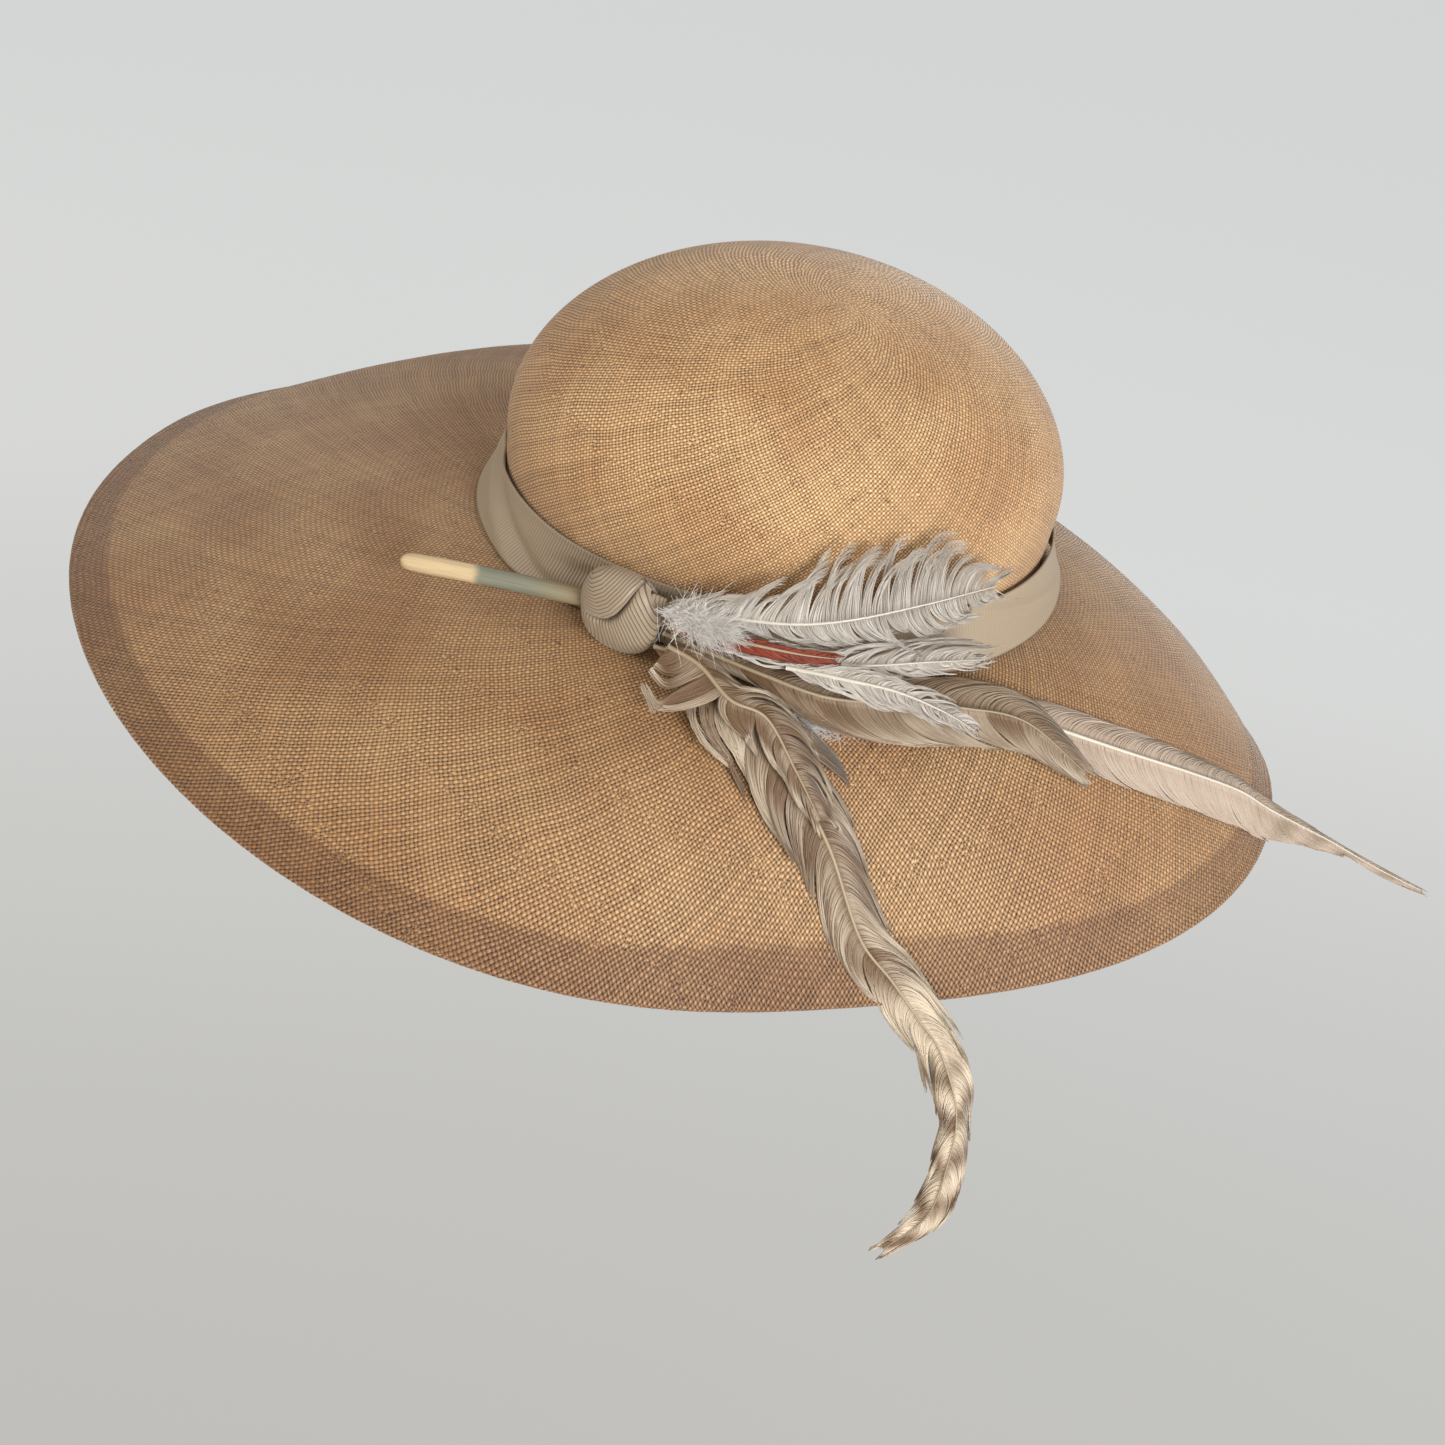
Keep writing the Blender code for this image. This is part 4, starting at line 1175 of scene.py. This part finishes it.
def barbs(key, side, seed):
    # The barbs of one side of a feather, gathered in locks: (points, faces, marks).
    shape = feathers[key]
    line = shape["line"]
    rng = np.random.default_rng(seed)
    total = line["length"][-1]
    root = np.arange(1.0 * mm, total - 0.3 * mm, shape["pitch"])
    count, steps = len(root), 10
    root = root + rng.uniform(-0.4, 0.4, count) * shape["pitch"]
    u = np.linspace(0, 1, steps + 1)[None]
    edges = [0.0]
    while edges[-1] < total:
        edges.append(edges[-1] + rng.uniform(*shape["lock"]))
    edges = np.array(edges)
    locks = len(edges)
    lockOf = np.clip(np.searchsorted(edges, root) - 1, 0, locks - 2)
    middle = (edges[lockOf] + edges[lockOf + 1]) / 2
    spreadOf = shape["uneven"]
    reach = (1 + rng.uniform(-1, 0.5, locks) * spreadOf)[lockOf] * (1 + rng.uniform(-0.5, 0.25, count)
                                                                    * spreadOf)
    lean = (1 + rng.uniform(-1, 1, locks) * spreadOf)[lockOf] * rng.uniform(0.97, 1.03, count)
    for strayed, first, last, further, steeper in shape.get("strays", []):
        # a few locks that reach out past the rest
        chosen = np.where((strayed == side) & (middle / total > first) & (middle / total < last), 1.0, 0.0)
        reach = reach * (1 + chosen * (further - 1))
        lean = lean * (1 + chosen * (steeper - 1))
    loose = rng.normal(0, 1, locks)[lockOf] * shape["loose"]
    parted = np.where(rng.uniform(0, 1, locks) < shape["split"], 1.0, 0.15)[lockOf] * shape["converge"]
    curl = np.maximum(rng.normal(-0.2, 0.8, locks), 0)[lockOf] * shape["curl"]
    column = 0 if side > 0 else 1
    width = readLine(line, "width", root)[:, column]
    sweep = np.minimum(shape["sweep"], 2.6 * width + 4 * mm) * lean
    forward = sweep[:, None] * u ** 1.5 * reach[:, None]
    pull = (middle - root)[:, None] * parted[:, None] * u ** 1.4
    run = root[:, None] + forward + pull
    past = np.maximum(run - total, 0) * 0.5
    flat = np.minimum(run, total).reshape(-1)
    point, left, normal, tangent = (readLine(line, name, flat).reshape(count, -1, 3)
                                    for name in ("point", "left", "normal", "tangent"))
    left = left * side
    widths = readLine(line, "width", flat)[:, column].reshape(count, -1)
    own = np.maximum(lerp(width[:, None], widths, 0.6), 0.9 * mm)
    lateral = (1 - (1 - u) ** 1.9) * own * reach[:, None]
    camber = -0.05 * lateral - 0.12 * lateral ** 2 / own
    lift = (loose + curl * 3 * mm)[:, None] * u ** 2 + rng.uniform(-1, 1, count)[:, None] * shape["rough"]
    wave = np.sin(u * 5 + rng.uniform(0, 6.28, locks)[lockOf][:, None]) * u * shape["wave"]
    run2 = lateral + wave
    path = (point + tangent * past[..., None] + left * (0.3 * mm + run2)[..., None]
            + normal * (camber + lift)[..., None])
    direction = unit(np.gradient(path, axis=1))
    across = unit(np.cross(direction, normal))
    upward = np.cross(across, direction)
    half = (shape["half"] * (1 - 0.75 * u ** shape["taper"])) * rng.uniform(0.8, 1.15, count)[:, None]
    half = half[..., None]
    ring = np.stack([path - across * half - upward * (half * 0.1), path + upward * (half * shape["ridge"]),
                     path + across * half - upward * (half * 0.1)], 2)
    size = (steps + 1) * 3
    faces = []
    for n in range(count):
        start = n * size
        faces += gridFaces(steps + 1, 3, closeColumns=True, start=start)
        faces.append([start, start + 1, start + 2])
        faces.append([start + size - 1, start + size - 2, start + size - 3])
    tone = bandTone(key, run / total, np.repeat(u, count, 0), side)
    bars = np.sin(u * 6.5 + rng.uniform(0, 6.28, locks)[lockOf][:, None]) * shape["bars"]
    tone = (tone + bars + rng.normal(0, 1, locks)[lockOf][:, None] * shape["bars"] * 0.7
            + rng.normal(0, 0.035, count)[:, None])
    marks = {"tone": np.repeat(np.clip(tone, 0, 1)[..., None], 3, 2).reshape(-1),
             "barb": np.repeat(rng.uniform(0, 1, count), size),
             "along": np.repeat(np.repeat(u, count, 0)[..., None], 3, 2).reshape(-1)}
    return ring.reshape(-1, 3), faces, marks


def buildFeather(key, seed):
    shape = feathers[key]
    shape["line"] = featherLine(shape)
    line = shape["line"]
    radii = (0.8 * mm * (1 - 0.8 * line["length"] / line["length"][-1]))[None]
    points, faces = tubes([line["point"]], radii, 8)
    newPiece(key + "Shaft", points, faces, materials[shape["shaft"]], shape["body"],
             [shape["cad"] + "_shaft"])
    for side, label, word in ((1, "Left", "left"), (-1, "Right", "right")):
        points, faces, marks = barbs(key, side, seed + side)
        newPiece(f"{key}Barbs{label}", points, faces, materials[shape["material"]], shape["body"],
                 [f"{shape['cad']}_vane_{word}"], marks)


for number, key in enumerate(feathers):
    buildFeather(key, 100 + number * 10)
print("feathers made")

down = {
    "sideDown": {"body": "side_feather", "cad": "side_down", "spot": (12, 21, 1.9), "half": (11, 5, 0.9),
                 "hairs": 420, "length": 6.5, "onward": 0.8},
    "whiteDown": {"body": "white_feather", "cad": "white_down", "spot": (-10.5, 17, 24),
                  "half": (9, 2, 3.2),
                  "hairs": 2400, "length": 9, "onward": 1.7},
}


def buildDown(name, seed):
    shape = down[name]
    rng = np.random.default_rng(seed)
    angle, out, lift = shape["spot"]
    middle = onBrim(angle, 0, out * mm, lift * mm)
    normal = brimNormal(angle, out * mm / brimWidth(angle))
    onward = unit(place(angle + 90, 1.0, 0) - normal * np.dot(place(angle + 90, 1.0, 0), normal))
    outward = np.cross(onward, normal)
    half = np.array(shape["half"]) * mm
    count = shape["hairs"]
    seedPoint = rng.normal(0, 0.45, (count, 3)) * half
    aim = unit(rng.normal(0, 1, (count, 3)) * [0.9, 0.8, 0.55] + [shape["onward"], 0, 0.2])
    bend = rng.normal(0, 1, (count, 3)) * [0.5, 0.5, 0.25]
    length = shape["length"] * mm * rng.uniform(0.4, 1.1, count)
    u = np.linspace(0, 1, 7)[None, :, None]
    local = (seedPoint[:, None] + aim[:, None] * u * length[:, None, None]
             + bend[:, None] * (u ** 2) * length[:, None, None] * 0.6)
    low = -half[2] if name == "sideDown" else -99
    local[..., 2] = np.maximum(local[..., 2], low)
    paths = middle + local[..., :1] * onward + local[..., 1:2] * outward + local[..., 2:] * normal
    radii = np.linspace(0.09, 0.04, 7)[None] * mm
    points, faces = tubes(paths, radii, 3)
    each = len(points) // count
    marks = {"tone": np.repeat(rng.uniform(0.3, 1, count), each),
             "barb": np.repeat(rng.uniform(0, 1, count), each),
             "along": np.tile(np.repeat(np.linspace(0, 1, 7), 3), count)}
    return newPiece(name, points, faces, materials["down"], shape["body"], [shape["cad"]],
                    marks)


buildDown("sideDown", 1)
buildDown("whiteDown", 2)
print("down made")

stage = {
    "floorLevel": -0.30, "floorHalf": 6, "floorColour": (0.80, 0.80, 0.79),
    "backdrop": (0.70, 0.715, 0.71), "backdropNear": (0.445, 0.44, 0.42), "backdropShare": 0.85,
    "skyColour": (1.0, 0.965, 0.91), "skyPower": 0.44,
    "lampSize": 1.0,
    "keyPlace": (1.3, 0.95, 0.5), "keyPower": 31, "keyColour": (0.96, 0.975, 1.0),
    "fillPlace": (0.35, -1.4, 0.8), "fillPower": 10.5, "fillColour": (1.0, 0.93, 0.82),
    "lens": 29.9, "sensor": 36,
    "cameraPlace": ((-0.1131, -0.6381, 0.7616, 0.3885), (0.9847, -0.1745, 0.0, -0.0049),
                    (0.1329, 0.7499, 0.6480, 0.2300), (0, 0, 0, 1)),
}

floorMesh = bpy.data.meshes.new("floor")
far = stage["floorHalf"]
floorMesh.from_pydata([(-far, -far, 0), (far, -far, 0), (far, far, 0), (-far, far, 0)], [], [[0, 1, 2, 3]])
floor = bpy.data.objects.new("floor", floorMesh)
floor.location = (0, 0, stage["floorLevel"])
bpy.context.scene.collection.objects.link(floor)
floorMaterial, floorTree, floorShader = newMaterial("pale floor", Roughness=0.9,
                                                    Base_Color=(*stage["floorColour"], 1),
                                                    Specular_IOR_Level=0.1)
seeThrough = floorTree.nodes.new("ShaderNodeBsdfTransparent")
glow = floorTree.nodes.new("ShaderNodeEmission")
where = floorTree.nodes.new("ShaderNodeSeparateXYZ")
floorTree.links.new(floorTree.nodes.new("ShaderNodeTexCoord").outputs["Object"], where.inputs[0])
# the painted glow grades from the backdrop colour far off to the darker backdropNear colour on the camera's
# side
near = spread(floorTree, where.outputs[0], -0.55, 0.45)
floorTree.links.new(mixColour(floorTree, near, (*stage["backdrop"], 1), (*stage["backdropNear"], 1)),
                    glow.inputs["Color"])
toView = floorTree.nodes.new("ShaderNodeMixShader")
either = floorTree.nodes.new("ShaderNodeMixShader")
sideOf = floorTree.nodes.new("ShaderNodeNewGeometry")
rays = floorTree.nodes.new("ShaderNodeLightPath")
# seen straight on, the floor is mostly a painted glow, paler far off and darker towards the camera, with a
# little of its real shading
floorTree.links.new(math(floorTree, "MULTIPLY", rays.outputs["Is Camera Ray"], stage["backdropShare"]),
                    toView.inputs[0])
for output, socket in ((floorShader.outputs[0], toView.inputs[1]), (glow.outputs[0], toView.inputs[2]),
                       (sideOf.outputs["Backfacing"], either.inputs[0]),
                       (toView.outputs[0], either.inputs[1]),
                       (seeThrough.outputs[0], either.inputs[2]),
                       (either.outputs[0], floorTree.nodes["Material Output"].inputs["Surface"])):
    floorTree.links.new(output, socket)
floorMesh.materials.append(floorMaterial)

world = bpy.data.worlds.new("soft light")
world.use_nodes = True
sky = world.node_tree.nodes["Background"]
sky.inputs["Color"].default_value = (*stage["skyColour"], 1)
sky.inputs["Strength"].default_value = stage["skyPower"]
bpy.context.scene.world = world

for name in ("key", "fill"):
    where = stage[name + "Place"]
    lamp = bpy.data.lights.new(name, "AREA")
    lamp.shape = "DISK"
    lamp.size = stage["lampSize"]
    lamp.energy = stage[name + "Power"]
    lamp.color = stage[name + "Colour"]
    light = bpy.data.objects.new(name, lamp)
    light.location = where
    light.rotation_euler = (-Vector(where)).to_track_quat("-Z", "Y").to_euler()
    bpy.context.scene.collection.objects.link(light)

cameraData = bpy.data.cameras.new("camera")
cameraData.lens = stage["lens"]
cameraData.sensor_width = stage["sensor"]
camera = bpy.data.objects.new("camera", cameraData)
camera.matrix_world = Matrix(stage["cameraPlace"])
bpy.context.scene.collection.objects.link(camera)
bpy.context.scene.camera = camera
bpy.context.scene.view_settings.view_transform = "Standard"
